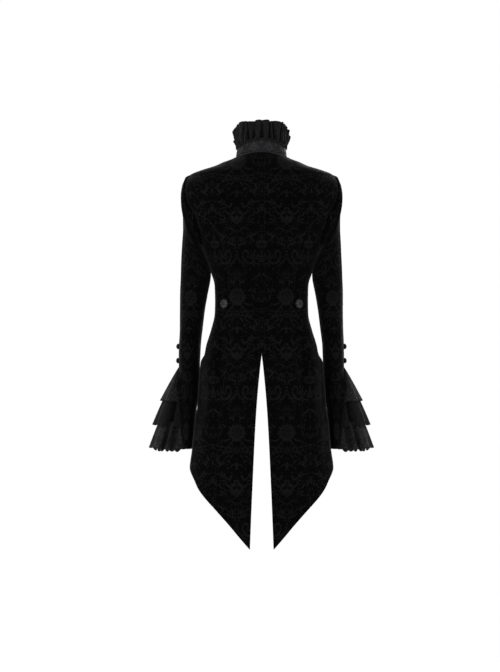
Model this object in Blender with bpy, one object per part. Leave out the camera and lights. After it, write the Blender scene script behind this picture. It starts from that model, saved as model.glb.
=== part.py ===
"""Gothic velvet tailcoat, worn form with no wearer, every cloth piece a hollow wall.

The frame is in metres with +Z up. The fronts face -Y, the wearer's left is +X, and the
origin lies on the centre line at the height of the neck, where shoulders carry the coat.
Tables and helpers work in millimetres, and a mesh is turned to metres when it is made.
"""
import math
from collections import namedtuple

import bmesh
import bpy
from mathutils import Vector

MM = 0.001
SEAM = 0.3
VELVET = 1.8
RUFFLE = 1.2
BAND = 2.4
BELT = 2.6

# The right front laps over the left one past the centre line. Its wall rises to its full
# lift between two distances before the left front's edge.
OVERLAP = 14.0
LAP_RISE = (12.0, 3.0)
LAP_LIFT = VELVET + 0.6
FRONT_COLUMNS = 8

# The torso, as level sections of a general figure: half width, where along Y the widest
# point lies, how far back and front reach, and how square the section is.
Section = namedtuple("Section", "height half_width side back front squareness")
TORSO = (
    Section(6, 66, -5, 64, -12, 2.0),
    Section(-5, 97.5, -5, 73, -24, 2.1),
    Section(-15.6, 121, -5, 79, -36, 2.1),
    Section(-26, 155, -5, 84, -46, 2.2),
    Section(-38, 184, -5, 89, -55, 2.2),
    Section(-57, 200, -4, 95, -65, 2.5),
    Section(-78, 205, -3, 100, -79, 2.8),
    Section(-104, 203, -2, 104, -95, 2.9),
    Section(-131, 192, -1, 105, -108, 2.7),
    Section(-160, 178, 0, 103, -119, 2.5),
    Section(-187, 167, 0, 100, -125, 2.3),
    Section(-225, 154, 0, 94, -123, 2.2),
    Section(-286, 134, -2, 82, -107, 2.2),
    Section(-328, 121.5, -4, 75, -96, 2.3),
    Section(-365, 120.5, -4, 72, -92, 2.3),
    Section(-400, 121.5, -3, 75, -92, 2.3),
    Section(-442, 131, 0, 84, -97, 2.2),
    Section(-484, 143, 4, 93, -102, 2.2),
    Section(-525, 158, 8, 100, -106, 2.2),
    Section(-600, 164.5, 12, 107, -108, 2.2),
    Section(-670, 167, 15, 113, -107, 2.2),
    Section(-749, 179.5, 20, 118, -104, 2.2),
    Section(-806, 186.5, 24, 122, -100, 2.2),
    Section(-1011, 172, 26, 129, -90, 2.2),
)

# Neckline, as a tilted ring: higher at the nape than at the side, lowest at the front.
NECK_HALF_WIDTH = 66.0
NECK_MIDDLE = -5.0
NECK_BACK = 67.0
NECK_SIDE_HEIGHT = 6.0
NECK_RISE_BACK = 15.0
NECK_DROP_FRONT = 61.9
NECK_COLUMNS_BACK = 8
NECK_TURNS_FRONT = (94, 108, 122, 136, 150, 165, 180)

# Armhole, an upright oval between the shoulder point and the underarm.
ARMHOLE_TOP = -38.0
ARMHOLE_BOTTOM = -225.0
ARMHOLE_BACK = 52.0
ARMHOLE_FRONT = 50.0
ARMHOLE_STEP = 18
ARMHOLE_STEPS = tuple(range(0, 181, ARMHOLE_STEP))

# Distance of the back princess seam from the centre line, from its start in the armhole.
# The side panel's tip there is an angle round the torso wide.
Seam = namedtuple("Seam", "height distance")
PRINCESS = (
    Seam(-160, 139), Seam(-187, 117), Seam(-207, 107), Seam(-225, 101), Seam(-255, 95),
    Seam(-286, 90), Seam(-345, 84.5), Seam(-400, 81), Seam(-455, 81), Seam(-507, 88),
    Seam(-600, 102), Seam(-700, 111), Seam(-800, 119), Seam(-920, 127),
)
PRINCESS_TIP = 1.5
VENT_TOP = -507.0
VENT = (
    Seam(-507, 0.15), Seam(-530, 3.0), Seam(-619, 11.5), Seam(-702, 17), Seam(-806, 22),
    Seam(-920, 27), Seam(-1011, 30.5),
)

# Lower edge of the coat by angle from the centre back: tail tip, side, cutaway, waist front.
Edge = namedtuple("Edge", "angle height")
HEM = (
    Edge(8.8, -1011), Edge(16.9, -983), Edge(25.7, -952), Edge(36.3, -920), Edge(43.7, -900),
    Edge(52.3, -879), Edge(60.7, -858), Edge(67.8, -837), Edge(78.7, -816), Edge(90, -800),
    Edge(101, -766), Edge(115, -702), Edge(130, -628), Edge(145, -556), Edge(160, -494),
    Edge(172, -456), Edge(180, -444), Edge(190, -440),
)

# Soft folds of the skirt, a ridge out or a trough in that runs from top to bottom.
Fold = namedtuple("Fold", "top_angle top bottom_angle bottom width depth")
FOLDS = (
    Fold(47, -420, 37, -640, 6.0, -5.0),
    Fold(56, -440, 50, -700, 7.0, 3.5),
    Fold(74, -500, 70, -840, 7.0, -3.0),
    Fold(22, -600, 20, -960, 6.0, 2.0),
    Fold(112, -470, 104, -760, 8.0, 3.5),
    Fold(128, -450, 120, -640, 7.0, -3.0),
)

YOKE_ROWS = (-5.0, -15.6, -26.0)
BODY_ROWS = (-255, -286, -318, -345, -372, -400, -434, -470, -507)
WAIST_ROW = -400
SKIRT_ROWS = (0.12, 0.25, 0.4, 0.55, 0.7, 0.85, 1.0)

# The sleeve, as rings that turn from the armhole to level ones at the elbow: height and
# place of a ring's outer and inner point, its middle and half depth along Y, and how far
# its back and front bulge outward, as the armhole does.
Ring = namedtuple("Ring", "height outer inner_height inner middle half_depth bulge")
SLEEVE = (
    Ring(-46, 198, -233, 156.5, 0, 53, 15),
    Ring(-68, 206, -241, 153.5, 0, 55.5, 15),
    Ring(-100, 207, -250, 150, 0, 55.5, 13),
    Ring(-140, 204.5, -260, 146, -1, 53.5, 10),
    Ring(-178, 204, -272, 141, -2, 51.5, 7),
    Ring(-220, 206.5, -287, 136.5, -3, 50, 4),
    Ring(-262, 208.5, -305, 132, -4, 49.5, 2),
    Ring(-300, 210, -325, 135, -6, 49, 0),
    Ring(-342, 211.5, -352, 140.5, -9, 48, 0),
    Ring(-388, 212, -390, 147, -13, 47, 0),
    Ring(-436, 212.5, -436, 153, -18, 46, 0),
    Ring(-485, 213.5, -485, 158.5, -24, 45, 0),
    Ring(-530, 213, -530, 160.5, -28, 44, 0),
    Ring(-545, 212.6, -545, 160.8, -29, 43.5, 0),
    Ring(-575, 212, -575, 161.5, -31, 43, 0),
    Ring(-615, 211, -615, 163.5, -33, 42.5, 0),
    Ring(-655, 210.5, -655, 169.5, -35, 42, 0),
    Ring(-705, 210, -705, 173.5, -37, 42, 0),
    Ring(-751, 209.5, -751, 176.5, -38, 42, 0),
)
UNDERARM_TURN = (100.0, 130.0)
ARMHOLE_GAP = 0.6

# Sleeve seams, and the slit at the outer cuff, as angles round the sleeve from its outer
# side. The hind seam turns to the outer side, and opens there below the sleeve buttons.
SleeveSeam = namedtuple("SleeveSeam", "height hind fore slit")
SLEEVE_SEAMS = (
    SleeveSeam(-38, 54, 252, 0), SleeveSeam(-46, 48, 257, 0), SleeveSeam(-140, 40, 243, 0),
    SleeveSeam(-262, 22, 234, 0), SleeveSeam(-388, 9, 228, 0), SleeveSeam(-530, 2, 224, 0),
    SleeveSeam(-545, 1, 223, 8), SleeveSeam(-575, 0, 222, 16), SleeveSeam(-615, 0, 221, 23),
    SleeveSeam(-655, 0, 220, 28), SleeveSeam(-705, 0, 219, 33), SleeveSeam(-751, 0, 218, 36),
)
UNDER_COLUMNS = 11
UPPER_COLUMNS = 9

# Cuff flounces, from the highest: the heights and the reach from the centre line of the
# gathered edge and of the hem, how many waves the hem has and how deep they are.
Flounce = namedtuple("Flounce", "top bottom top_reach bottom_reach waves depth columns")
FLOUNCES = (
    Flounce(-547, -625, 219, 254, 3, 5.0, 19),
    Flounce(-614, -692, 241, 269, 5, 8.0, 25),
    Flounce(-681, -754, 255, 278, 8, 9.0, 35),
)
FLOUNCE_ROWS = (0.0, 0.4, 1.0)
FLOUNCE_TUCK = 0.14
TUCK_TURN = 22.0
TUCK_CLEARANCE = 0.5
EXIT_TURN = 2.6
EXIT_CLEARANCE = 1.1
FLOUNCE_NEST = 1.7
NEST_TURN = 2.4
FLOUNCE_SPREAD = 0.34
FLOUNCE_LEAN = 75.0

# Stand collar, its binding and the frill that rises from it.
COLLAR_OPENING = 1.5
COLLAR_CLEARANCE = 0.5
COLLAR_HEIGHT = 28.0
COLLAR_HEIGHT_BACK = 4.0
COLLAR_LEAN = 2.5
BINDING_HEIGHT = 5.0
BINDING_PROUD = 1.0
FRILL_HEIGHT_SIDE = 36.0
FRILL_HEIGHT_BACK = 45.0
FRILL_FLARE = 8.0
FRILL_PLEATS = 24
FRILL_PLEAT_DEPTH = 4.6
FRILL_COLUMNS_EACH = 6
FRILL_ROWS = (0.0, 0.3, 0.65, 1.0)

# Half belt across the back waist, with its buttons.
BELT_HALF_LENGTH = 116.0
BELT_MIDDLE = -374.5
BELT_END_RISE = 9.0
BELT_HALF_HEIGHT = 25.5
BELT_ROUND_END = 16.0
BELT_COLUMNS = 21
BELT_ROWS = 4
BELT_LIFT = 0.85

ButtonPlace = namedtuple("ButtonPlace", "name across height diameter thickness sides")
WAIST_BUTTON = ButtonPlace("waist_button", 97.5, -373.6, 27.0, 7.0, 18)
SLEEVE_BUTTONS = (
    ButtonPlace("sleeve_button_upper", 0, -486, 13.0, 5.0, 10),
    ButtonPlace("sleeve_button_lower", 0, -521, 13.0, 5.0, 10),
)
SLEEVE_BUTTON_ANGLE = -9.0
BUTTON_LIFT = 0.7
FRONT_BUTTON_COUNT = 5
FRONT_BUTTON_TOP = -105.0
FRONT_BUTTON_STEP = 64.0
FRONT_BUTTON = ButtonPlace("front_button", 0, 0, 18.0, 5.0, 12)

VELVET_COLOUR = (0.006, 0.006, 0.0065)
SATIN_COLOUR = (0.02, 0.02, 0.021)
JACQUARD_COLOUR = (0.028, 0.028, 0.029)
SILVER_COLOUR = (0.11, 0.11, 0.115)


def clear_scene():
    for item in list(bpy.data.objects):
        bpy.data.objects.remove(item)


def make_material(name, colour, roughness, metallic):
    material = bpy.data.materials.new(name)
    material.use_nodes = True
    shader = material.node_tree.nodes["Principled BSDF"]
    shader.inputs["Base Color"].default_value = (*colour, 1.0)
    shader.inputs["Roughness"].default_value = roughness
    shader.inputs["Metallic"].default_value = metallic
    return material


def read(table, column, at, by="height"):
    """Value of a table's column at a place, on a curve with no overshoot, flat past its ends."""
    rows = sorted(table, key=lambda row: getattr(row, by))
    places = [getattr(row, by) for row in rows]
    values = [getattr(row, column) for row in rows]
    if at <= places[0]:
        return values[0]
    if at >= places[-1]:
        return values[-1]
    low = max(i for i in range(len(places) - 1) if places[i] <= at)
    steps = [b - a for a, b in zip(places, places[1:])]
    slopes = [(b - a) / step for a, b, step in zip(values, values[1:], steps)]

    def slope_at(i):
        if i == 0 or i == len(places) - 1:
            return slopes[0] if i == 0 else slopes[-1]
        before, after = slopes[i - 1], slopes[i]
        return 0.0 if before * after <= 0 else 2 * before * after / (before + after)

    step = steps[low]
    t = (at - places[low]) / step
    start, end = slope_at(low) * step, slope_at(low + 1) * step
    rise = values[low + 1] - values[low]
    return values[low] + t * start + t * t * (3 * rise - 2 * start - end) + t ** 3 * (start + end - 2 * rise)


def blend(a, b, t):
    return a + (b - a) * t


def smooth_step(low, high, value):
    t = min(max((value - low) / (high - low), 0.0), 1.0)
    return t * t * (3 - 2 * t)


def signed_power(value, power):
    return math.copysign(abs(value) ** power, value)


def torso_plain(angle, height):
    """Point of the torso with no folds, at an angle from the centre back round by +X."""
    half_width = read(TORSO, "half_width", height)
    side = read(TORSO, "side", height)
    reach = read(TORSO, "back" if math.cos(math.radians(angle)) > 0 else "front", height)
    power = 2 / read(TORSO, "squareness", height)
    x = half_width * signed_power(math.sin(math.radians(angle)), power)
    y = side + (reach - side) * abs(math.cos(math.radians(angle))) ** power
    return Vector((x, y, height))


def torso_normal(angle, height):
    """Outward direction of the plain torso, from points just beside."""
    turn, drop = 1.0, 1.5
    across = torso_plain(angle + turn, height) - torso_plain(angle - turn, height)
    down = torso_plain(angle, height - drop) - torso_plain(angle, height + drop)
    return across.cross(down).normalized()


def fold_depth(angle, height):
    """How far the skirt's folds stand out from the plain torso."""
    total = 0.0
    for fold in FOLDS:
        run = (height - fold.top) / (fold.bottom - fold.top)
        if 0 < run < 1:
            middle = blend(fold.top_angle, fold.bottom_angle, run)
            swell = math.sin(math.pi * run) ** 0.7
            total += fold.depth * swell * math.exp(-((angle - middle) / fold.width) ** 2)
    return total


def torso(angle, height, lift=0.0):
    """Point on the cloth, with its folds, lifted off the surface by so much."""
    normal = torso_normal(angle, height)
    return torso_plain(angle, height) + normal * (fold_depth(angle, height) + lift)


def angle_across(distance, height, front=False):
    """Angle of the torso point at a distance from the centre line."""
    squareness = read(TORSO, "squareness", height)
    ratio = min(abs(distance) / read(TORSO, "half_width", height), 1.0)
    angle = math.degrees(math.asin(ratio ** (squareness / 2)))
    if not front:
        return math.copysign(angle, distance)
    return 180 - math.copysign(angle, distance)


def neck_point(angle):
    """Point on the neckline at an angle from the nape."""
    sine, cosine = math.sin(math.radians(angle)), math.cos(math.radians(angle))
    if cosine >= 0:
        height = NECK_SIDE_HEIGHT + NECK_RISE_BACK * cosine ** 1.5
        return Vector((NECK_HALF_WIDTH * sine, NECK_MIDDLE + NECK_BACK * cosine, height))
    height = NECK_SIDE_HEIGHT - NECK_DROP_FRONT * cosine ** 2
    return torso_plain(angle_across(NECK_HALF_WIDTH * sine, height, front=True), height)


def neck_place(turn):
    """Angle and height on the torso of the front neckline, turned from the nape."""
    height = NECK_SIDE_HEIGHT - NECK_DROP_FRONT * math.cos(math.radians(turn)) ** 2
    distance = NECK_HALF_WIDTH * math.sin(math.radians(turn))
    return angle_across(distance, height, front=True), height


def armhole_height(turn):
    middle = (ARMHOLE_TOP + ARMHOLE_BOTTOM) / 2
    return middle + (ARMHOLE_TOP - middle) * math.cos(math.radians(turn))


def armhole_angle(turn):
    """Angle on the torso of the armhole's edge, turned from the shoulder point by the back."""
    height = armhole_height(turn)
    side = read(TORSO, "side", height)
    sine = math.sin(math.radians(turn))
    depth = ARMHOLE_BACK * sine if sine >= 0 else ARMHOLE_FRONT * sine
    reach = read(TORSO, "back" if sine >= 0 else "front", height)
    squareness = read(TORSO, "squareness", height)
    ratio = abs(depth / (reach - side)) ** (squareness / 2)
    angle = math.degrees(math.acos(ratio))
    return angle if sine >= 0 else 180 - angle


def hem_height(angle):
    return read(HEM, "height", angle, by="angle")


def hem_at(angle_at_height, start):
    """Height where a column, given as a function of height, meets the lower edge."""
    low, high = -1020.0, start
    for _ in range(30):
        middle = (low + high) / 2
        if middle > hem_height(angle_at_height(middle)):
            high = middle
        else:
            low = middle
    return (low + high) / 2


def add_wall(name, outer, inner, material, mirror=False):
    """One closed cloth wall between two grids of points, given as rows in millimetres.

    Each square is split along its shorter diagonal, which keeps neighbouring walls apart.
    """
    mesh = bpy.data.meshes.new(name)
    body = bmesh.new()
    sign = -1 if mirror else 1
    rows, columns = len(outer), len(outer[0])

    def add_points(grid):
        return [[body.verts.new((sign * p.x * MM, p.y * MM, p.z * MM)) for p in row] for row in grid]

    top, under = add_points(outer), add_points(inner)
    for i in range(rows - 1):
        for j in range(columns - 1):
            body.faces.new((top[i][j], top[i][j + 1], top[i + 1][j + 1], top[i + 1][j]))
            body.faces.new((under[i][j], under[i + 1][j], under[i + 1][j + 1], under[i][j + 1]))
    for i in (0, rows - 1):
        for j in range(columns - 1):
            body.faces.new((top[i][j], under[i][j], under[i][j + 1], top[i][j + 1]))
    for j in (0, columns - 1):
        for i in range(rows - 1):
            body.faces.new((top[i][j], top[i + 1][j], under[i + 1][j], under[i][j]))
    bmesh.ops.triangulate(body, faces=body.faces, quad_method="SHORT_EDGE")
    bmesh.ops.recalc_face_normals(body, faces=body.faces)
    body.to_mesh(mesh)
    body.free()
    mesh.shade_smooth()
    mesh.set_sharp_from_angle(angle=math.radians(50))
    mesh.materials.append(material)
    item = bpy.data.objects.new(name, mesh)
    bpy.context.scene.collection.objects.link(item)
    return item


def add_pair(name, outer, inner, material):
    """The same wall on both sides, modelled on the wearer's left."""
    add_wall(name + "_left", outer, inner, material)
    add_wall(name + "_right", outer, inner, material, mirror=True)


def grid_normals(grid):
    """Directions out of a grid of points, from the neighbours of each point."""
    normals = []
    for i, row in enumerate(grid):
        above, below = grid[max(i - 1, 0)], grid[min(i + 1, len(grid) - 1)]
        line = []
        for j in range(len(row)):
            across = row[min(j + 1, len(row) - 1)] - row[max(j - 1, 0)]
            down = below[j] - above[j]
            line.append(across.cross(down).normalized())
        normals.append(line)
    return normals


def panel_walls(places, lift=None):
    """Outer and inner points of a torso panel, given as rows of angle and height."""
    outer, inner = [], []
    for row in places:
        raised = [lift(angle, height) if lift else 0.0 for angle, height in row]
        outer.append([torso(angle, height, up) for (angle, height), up in zip(row, raised)])
        inner.append([torso(angle, height, up - VELVET) for (angle, height), up in zip(row, raised)])
    return outer, inner


def skirt_heights(angle_at_height, start):
    """Heights of one column of the skirt, from its first row down to the lower edge."""
    end = hem_at(angle_at_height, start)
    return [blend(start, end, share) for share in SKIRT_ROWS]


def seam_shift(height):
    """Half of the gap at a seam, as an angle round the torso."""
    return math.degrees(SEAM / 2 / (0.5 * read(TORSO, "half_width", height) + 45))


def princess_angle(height):
    return angle_across(read(PRINCESS, "distance", height), height)


def vent_angle(height):
    if height > VENT_TOP:
        return angle_across(SEAM / 2, height)
    return angle_across(read(VENT, "distance", height), height)


def column_shares(count):
    return [j / (count - 1) for j in range(count)]


def add_centre_back(material):
    shares = column_shares(NECK_COLUMNS_BACK)

    def column_angle(share):
        return lambda height: blend(vent_angle(height), princess_angle(height) - seam_shift(height), share)

    outer, inner = [], []
    neck_row, neck_inner = [], []
    for share in shares:
        point = neck_point(90 * share)
        if share == 0:
            point.x = SEAM / 2
        if share == 1:
            point.y += SEAM / 2
        normal = torso_normal(90 * share, YOKE_ROWS[0])
        neck_row.append(point)
        neck_inner.append(point - normal * VELVET)
    outer.append(neck_row)
    inner.append(neck_inner)
    places = []
    for height in YOKE_ROWS:
        ends = angle_across(SEAM / 2, height), 90 - seam_shift(height)
        places.append([(blend(*ends, share), height) for share in shares])
    for turn in ARMHOLE_STEPS:
        height = armhole_height(turn)
        start = angle_across(SEAM / 2, height)
        if turn <= 90:
            end = min(armhole_angle(turn), 90 - seam_shift(height))
            end -= PRINCESS_TIP if turn == 90 else 0.0
        else:
            end = princess_angle(height) - seam_shift(height)
        places.append([(blend(start, end, share), height) for share in shares])
    for height in BODY_ROWS:
        places.append([(column_angle(share)(height), height) for share in shares])
    skirt = [skirt_heights(column_angle(share), VENT_TOP) for share in shares]
    for i in range(len(SKIRT_ROWS)):
        places.append([(column_angle(share)(skirt[j][i]), skirt[j][i]) for j, share in enumerate(shares)])
    walls = panel_walls(places)
    add_pair("centre_back", outer + walls[0], inner + walls[1], material)


def add_side_back(material):
    shares = column_shares(6)

    def column_angle(share):
        def angle_at(height):
            gap = seam_shift(height)
            return blend(princess_angle(height) + gap, 90 - gap, share)
        return angle_at

    places = []
    for turn in ARMHOLE_STEPS:
        if turn < 90:
            continue
        height = armhole_height(turn)
        end = min(armhole_angle(turn), 90 - seam_shift(height))
        start = princess_angle(height) + seam_shift(height)
        if turn == 90:
            start = end - PRINCESS_TIP + 2 * seam_shift(height)
        places.append([(blend(start, end, share), height) for share in shares])
    for height in BODY_ROWS:
        places.append([(column_angle(share)(height), height) for share in shares])
    skirt = [skirt_heights(column_angle(share), VENT_TOP) for share in shares]
    for i in range(len(SKIRT_ROWS)):
        places.append([(column_angle(share)(skirt[j][i]), skirt[j][i]) for j, share in enumerate(shares)])
    add_pair("side_back", *panel_walls(places), material)


def front_edge_angle(height):
    """Inner edge of a front below the neckline, a strip past the centre line."""
    neck_bottom = NECK_SIDE_HEIGHT - NECK_DROP_FRONT
    past = OVERLAP * smooth_step(neck_bottom, neck_bottom - 20, height)
    return angle_across(-past, height, front=True)


def add_front(name, lapped, material, mirror):
    """One front. The lapped one is lifted where it lies over the other."""
    count = FRONT_COLUMNS + 3

    def lap_angles(height):
        return [angle_across(OVERLAP + more, height, front=True) for more in LAP_RISE]

    def lift(angle, height):
        return LAP_LIFT * smooth_step(*lap_angles(height), angle) if lapped else 0.0

    def side_angle(height):
        return 90 + seam_shift(height)

    def column_angle(j, start=None):
        def angle_at(height):
            first = side_angle(height) if start is None else start
            lap_from, lap_to = lap_angles(height)
            edge = front_edge_angle(height)
            if j < FRONT_COLUMNS:
                return blend(first, lap_from, j / (FRONT_COLUMNS - 1))
            return (lap_to, blend(lap_to, edge, 0.5), edge)[j - FRONT_COLUMNS]
        return angle_at

    shoulder_rows = (NECK_SIDE_HEIGHT - SEAM / 2, *YOKE_ROWS)
    starts = [(side_angle(height), height) for height in shoulder_rows]
    for turn in ARMHOLE_STEPS:
        height = armhole_height(turn)
        starts.append((max(armhole_angle(-turn), side_angle(height)), height))
    neck_ends = [neck_place(turn) for turn in NECK_TURNS_FRONT]
    places = []
    for i, start in enumerate(starts):
        if i < len(neck_ends):
            end = neck_ends[i]
            shares = column_shares(count)
            places.append([(blend(start[0], end[0], s), blend(start[1], end[1], s)) for s in shares])
        else:
            places.append([(column_angle(j, start[0])(start[1]), start[1]) for j in range(count)])
    for height in BODY_ROWS[:BODY_ROWS.index(WAIST_ROW) + 1]:
        places.append([(column_angle(j)(height), height) for j in range(count)])
    side_heights = [height for height in BODY_ROWS if height < WAIST_ROW]
    side_heights += skirt_heights(side_angle, VENT_TOP)
    side_end = side_heights[-1]
    ends = [hem_at(column_angle(j), WAIST_ROW) for j in range(count)]
    for height in side_heights:
        run = (height - WAIST_ROW) / (side_end - WAIST_ROW)
        row = []
        for j, end in enumerate(ends):
            at = blend(WAIST_ROW, end, run)
            row.append((column_angle(j)(at), at))
        places.append(row)
    add_wall(name, *panel_walls(places, lift), material, mirror=mirror)


def sleeve_column(height, turn):
    """Point of the sleeve on the ring whose outer point is at a height."""
    outer = Vector((read(SLEEVE, "outer", height), 0, height))
    inner = Vector((read(SLEEVE, "inner", height), 0, read(SLEEVE, "inner_height", height)))
    middle = (outer + inner) / 2
    sine, cosine = math.sin(math.radians(turn)), math.cos(math.radians(turn))
    point = middle + (outer - middle) * cosine
    point.x += read(SLEEVE, "bulge", height) * sine ** 2 * (1 + 0.5 * cosine)
    point.y = read(SLEEVE, "middle", height) + read(SLEEVE, "half_depth", height) * sine
    return point


def sleeve_normal(height, turn):
    down = sleeve_column(height - 2, turn) - sleeve_column(height + 2, turn)
    across = sleeve_column(height, turn + 2) - sleeve_column(height, turn - 2)
    return down.cross(across).normalized()


def armhole_start(turn):
    """Point where the sleeve's outside starts, just clear of the armhole's edge.

    At the shoulder it goes on in the line of the body, and at the underarm it hangs beside
    the body.
    """
    turn = (turn + 180) % 360 - 180
    height = armhole_height(turn)
    angle = armhole_angle(turn)
    edge = torso(angle, height)
    body_normal = torso_normal(angle, height)
    leaving = (sleeve_column(SLEEVE[0].height, turn) - edge).normalized()
    hanging = smooth_step(*UNDERARM_TURN, abs(turn))
    aside = Vector((1, 0, 0))
    aside = (aside - body_normal * aside.dot(body_normal)).normalized()
    step = aside.lerp(body_normal, hanging).normalized()
    return edge + step * ARMHOLE_GAP + leaving * SEAM * hanging


def sleeve_row(height, turn_range, columns):
    """Outer points of one sleeve piece on a ring, or on the armhole where height is None."""
    start, end = turn_range(ARMHOLE_TOP if height is None else height)
    turns = [blend(start, end, share) for share in column_shares(columns + 1)]
    if height is None:
        return [armhole_start(turn) for turn in turns]
    return [sleeve_column(height, turn) for turn in turns]


def sleeve_walls(piece, other):
    """Outer and inner points of a sleeve piece, whose ends meet the ends of the other one."""
    outer, inner = [], []
    for i, row in enumerate(piece):
        above, below = piece[max(i - 1, 0)], piece[min(i + 1, len(piece) - 1)]
        beside = [other[i][-2]] + row + [other[i][1]]
        under = []
        for j, point in enumerate(row):
            across = beside[j + 2] - beside[j]
            under.append(point - (below[j] - above[j]).cross(across).normalized() * VELVET)
        before = (row[1] - row[0]).normalized() * SEAM / 2
        after = (row[-1] - row[-2]).normalized() * SEAM / 2
        outer.append([row[0] + before] + row[1:-1] + [row[-1] - after])
        inner.append([under[0] + before] + under[1:-1] + [under[-1] - after])
    return outer, inner


def add_sleeves(material):
    def under_range(height):
        slit = read(SLEEVE_SEAMS, "slit", height)
        return read(SLEEVE_SEAMS, "hind", height) + slit, read(SLEEVE_SEAMS, "fore", height)

    def upper_range(height):
        slit = read(SLEEVE_SEAMS, "slit", height)
        return read(SLEEVE_SEAMS, "fore", height), read(SLEEVE_SEAMS, "hind", height) - slit + 360

    heights = [None] + [ring.height for ring in SLEEVE]
    under = [sleeve_row(height, under_range, UNDER_COLUMNS) for height in heights]
    upper = [sleeve_row(height, upper_range, UPPER_COLUMNS) for height in heights]
    add_pair("under_sleeve", *sleeve_walls(under, upper), material)
    add_pair("upper_sleeve", *sleeve_walls(upper, under), material)


def flounce_point(flounce, nest, share, across):
    """Point of a flounce, from its gathered edge down, and from -1 to 1 round the slit.

    Its ends lie flat inside the sleeve, and nest is how far they lie inside those of the
    flounces above. Between them it comes out through the slit and fans out in waves.
    """
    height = blend(flounce.top, flounce.bottom, share)
    slit = read(SLEEVE_SEAMS, "slit", height)
    side = math.copysign(1.0, across)
    fan_end = 1 - FLOUNCE_TUCK
    tuck = max(abs(across) - fan_end, 0.0) / FLOUNCE_TUCK
    turn = slit - EXIT_TURN - nest * NEST_TURN
    if tuck > 0:
        turn = blend(slit + EXIT_TURN, slit + TUCK_TURN, tuck)
    clearance = blend(EXIT_CLEARANCE, TUCK_CLEARANCE, smooth_step(0, 0.6, tuck)) + nest
    held = sleeve_column(height, side * turn)
    held -= sleeve_normal(height, side * turn) * (VELVET + clearance)
    if tuck > 0:
        return held
    reach = blend(flounce.top_reach, flounce.bottom_reach, share ** 0.9)
    middle = read(SLEEVE, "middle", height)
    fan_share = abs(across) / fan_end
    half = abs(held.y - middle) * fan_share ** 0.6
    half += FLOUNCE_SPREAD * (reach - held.x) * math.sin(math.pi * fan_share) ** 3
    half -= nest * math.sin(math.pi * fan_share)
    x = blend(held.x, reach, math.cos(math.pi / 2 * fan_share))
    wave = 0.5 + 0.5 * math.cos(math.pi * flounce.waves * across / fan_end * (1 + 0.12 * across))
    out = flounce.depth * share ** 1.2 * (1 - fan_share ** 2) ** 0.8 * wave
    lean = math.radians(FLOUNCE_LEAN * fan_share)
    return Vector((x + out * math.cos(lean), middle + side * (half + out * math.sin(lean)), height))


def add_flounces(materials):
    for number, flounce in enumerate(FLOUNCES, start=1):
        nest = (number - 1) * FLOUNCE_NEST
        fan_end = 1 - FLOUNCE_TUCK
        fan = [fan_end * (2 * s - 1) for s in column_shares(flounce.columns)]
        tuck = [blend(fan_end, 1, share) for share in (0.1, 0.55, 1.0)]
        places = [-place for place in reversed(tuck)] + fan + tuck
        outer = [[flounce_point(flounce, nest, row, across) for across in places] for row in FLOUNCE_ROWS]
        normals = grid_normals(outer)
        inner = [[p + n * RUFFLE for p, n in zip(*pair)] for pair in zip(outer, normals)]
        add_pair(f"cuff_flounce_{number}", outer, inner, materials[number - 1])


def collar_base(angle):
    """Outer point where the collar band starts, just inside and above the neckline.

    It lies on the straight runs between the band's own points, so that what stands on the
    band meets it all the way.
    """
    turns = [turn for turn in collar_turns() if turn >= 0]
    place = min(abs(angle), turns[-1])
    low = max(i for i in range(len(turns) - 1) if turns[i] <= place)
    ends = [neck_point(turn) for turn in turns[low:low + 2]]
    point = ends[0].lerp(ends[1], (place - turns[low]) / (turns[low + 1] - turns[low]))
    towards = Vector((-point.x, NECK_MIDDLE - point.y, 0)).normalized()
    point += towards * COLLAR_CLEARANCE + Vector((0, 0, COLLAR_CLEARANCE))
    point.x *= -1 if angle < 0 else 1
    return point


def inward(angle):
    """Level direction from the collar towards the middle of the neck."""
    point = collar_base(angle)
    return Vector((-point.x, NECK_MIDDLE - point.y, 0)).normalized()


def band_height(angle):
    return COLLAR_HEIGHT + COLLAR_HEIGHT_BACK * math.cos(math.radians(angle))


def collar_turns():
    """Turns round the neck where the band has its points, the same as the neckline's."""
    half = [90 * share for share in column_shares(NECK_COLUMNS_BACK)] + list(NECK_TURNS_FRONT[:-1])
    half.append(180 - COLLAR_OPENING)
    return [-turn for turn in reversed(half[1:])] + half


def ring_wall(name, levels, angles, thickness, material):
    """A strip round the neck. Each level gives a point from an angle."""
    outer = [[level(angle) for angle in angles] for level in levels]
    inner = [[p + inward(a) * thickness for p, a in zip(row, angles)] for row in outer]
    return add_wall(name, outer, inner, material)


def add_collar(band_material, binding_material):
    def level(height_share, proud=0.0, extra=0.0):
        def point(angle):
            lift = Vector((0, 0, band_height(angle) * height_share + extra))
            return collar_base(angle) + lift + inward(angle) * (COLLAR_LEAN * height_share - proud)
        return point

    angles = collar_turns()
    ring_wall("collar_band", (level(0), level(0.5), level(1)), angles, BAND, band_material)
    binding = (level(1, BINDING_PROUD, SEAM), level(1, BINDING_PROUD, SEAM + BINDING_HEIGHT))
    ring_wall("collar_binding", binding, angles, BAND + BINDING_PROUD, binding_material)


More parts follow.
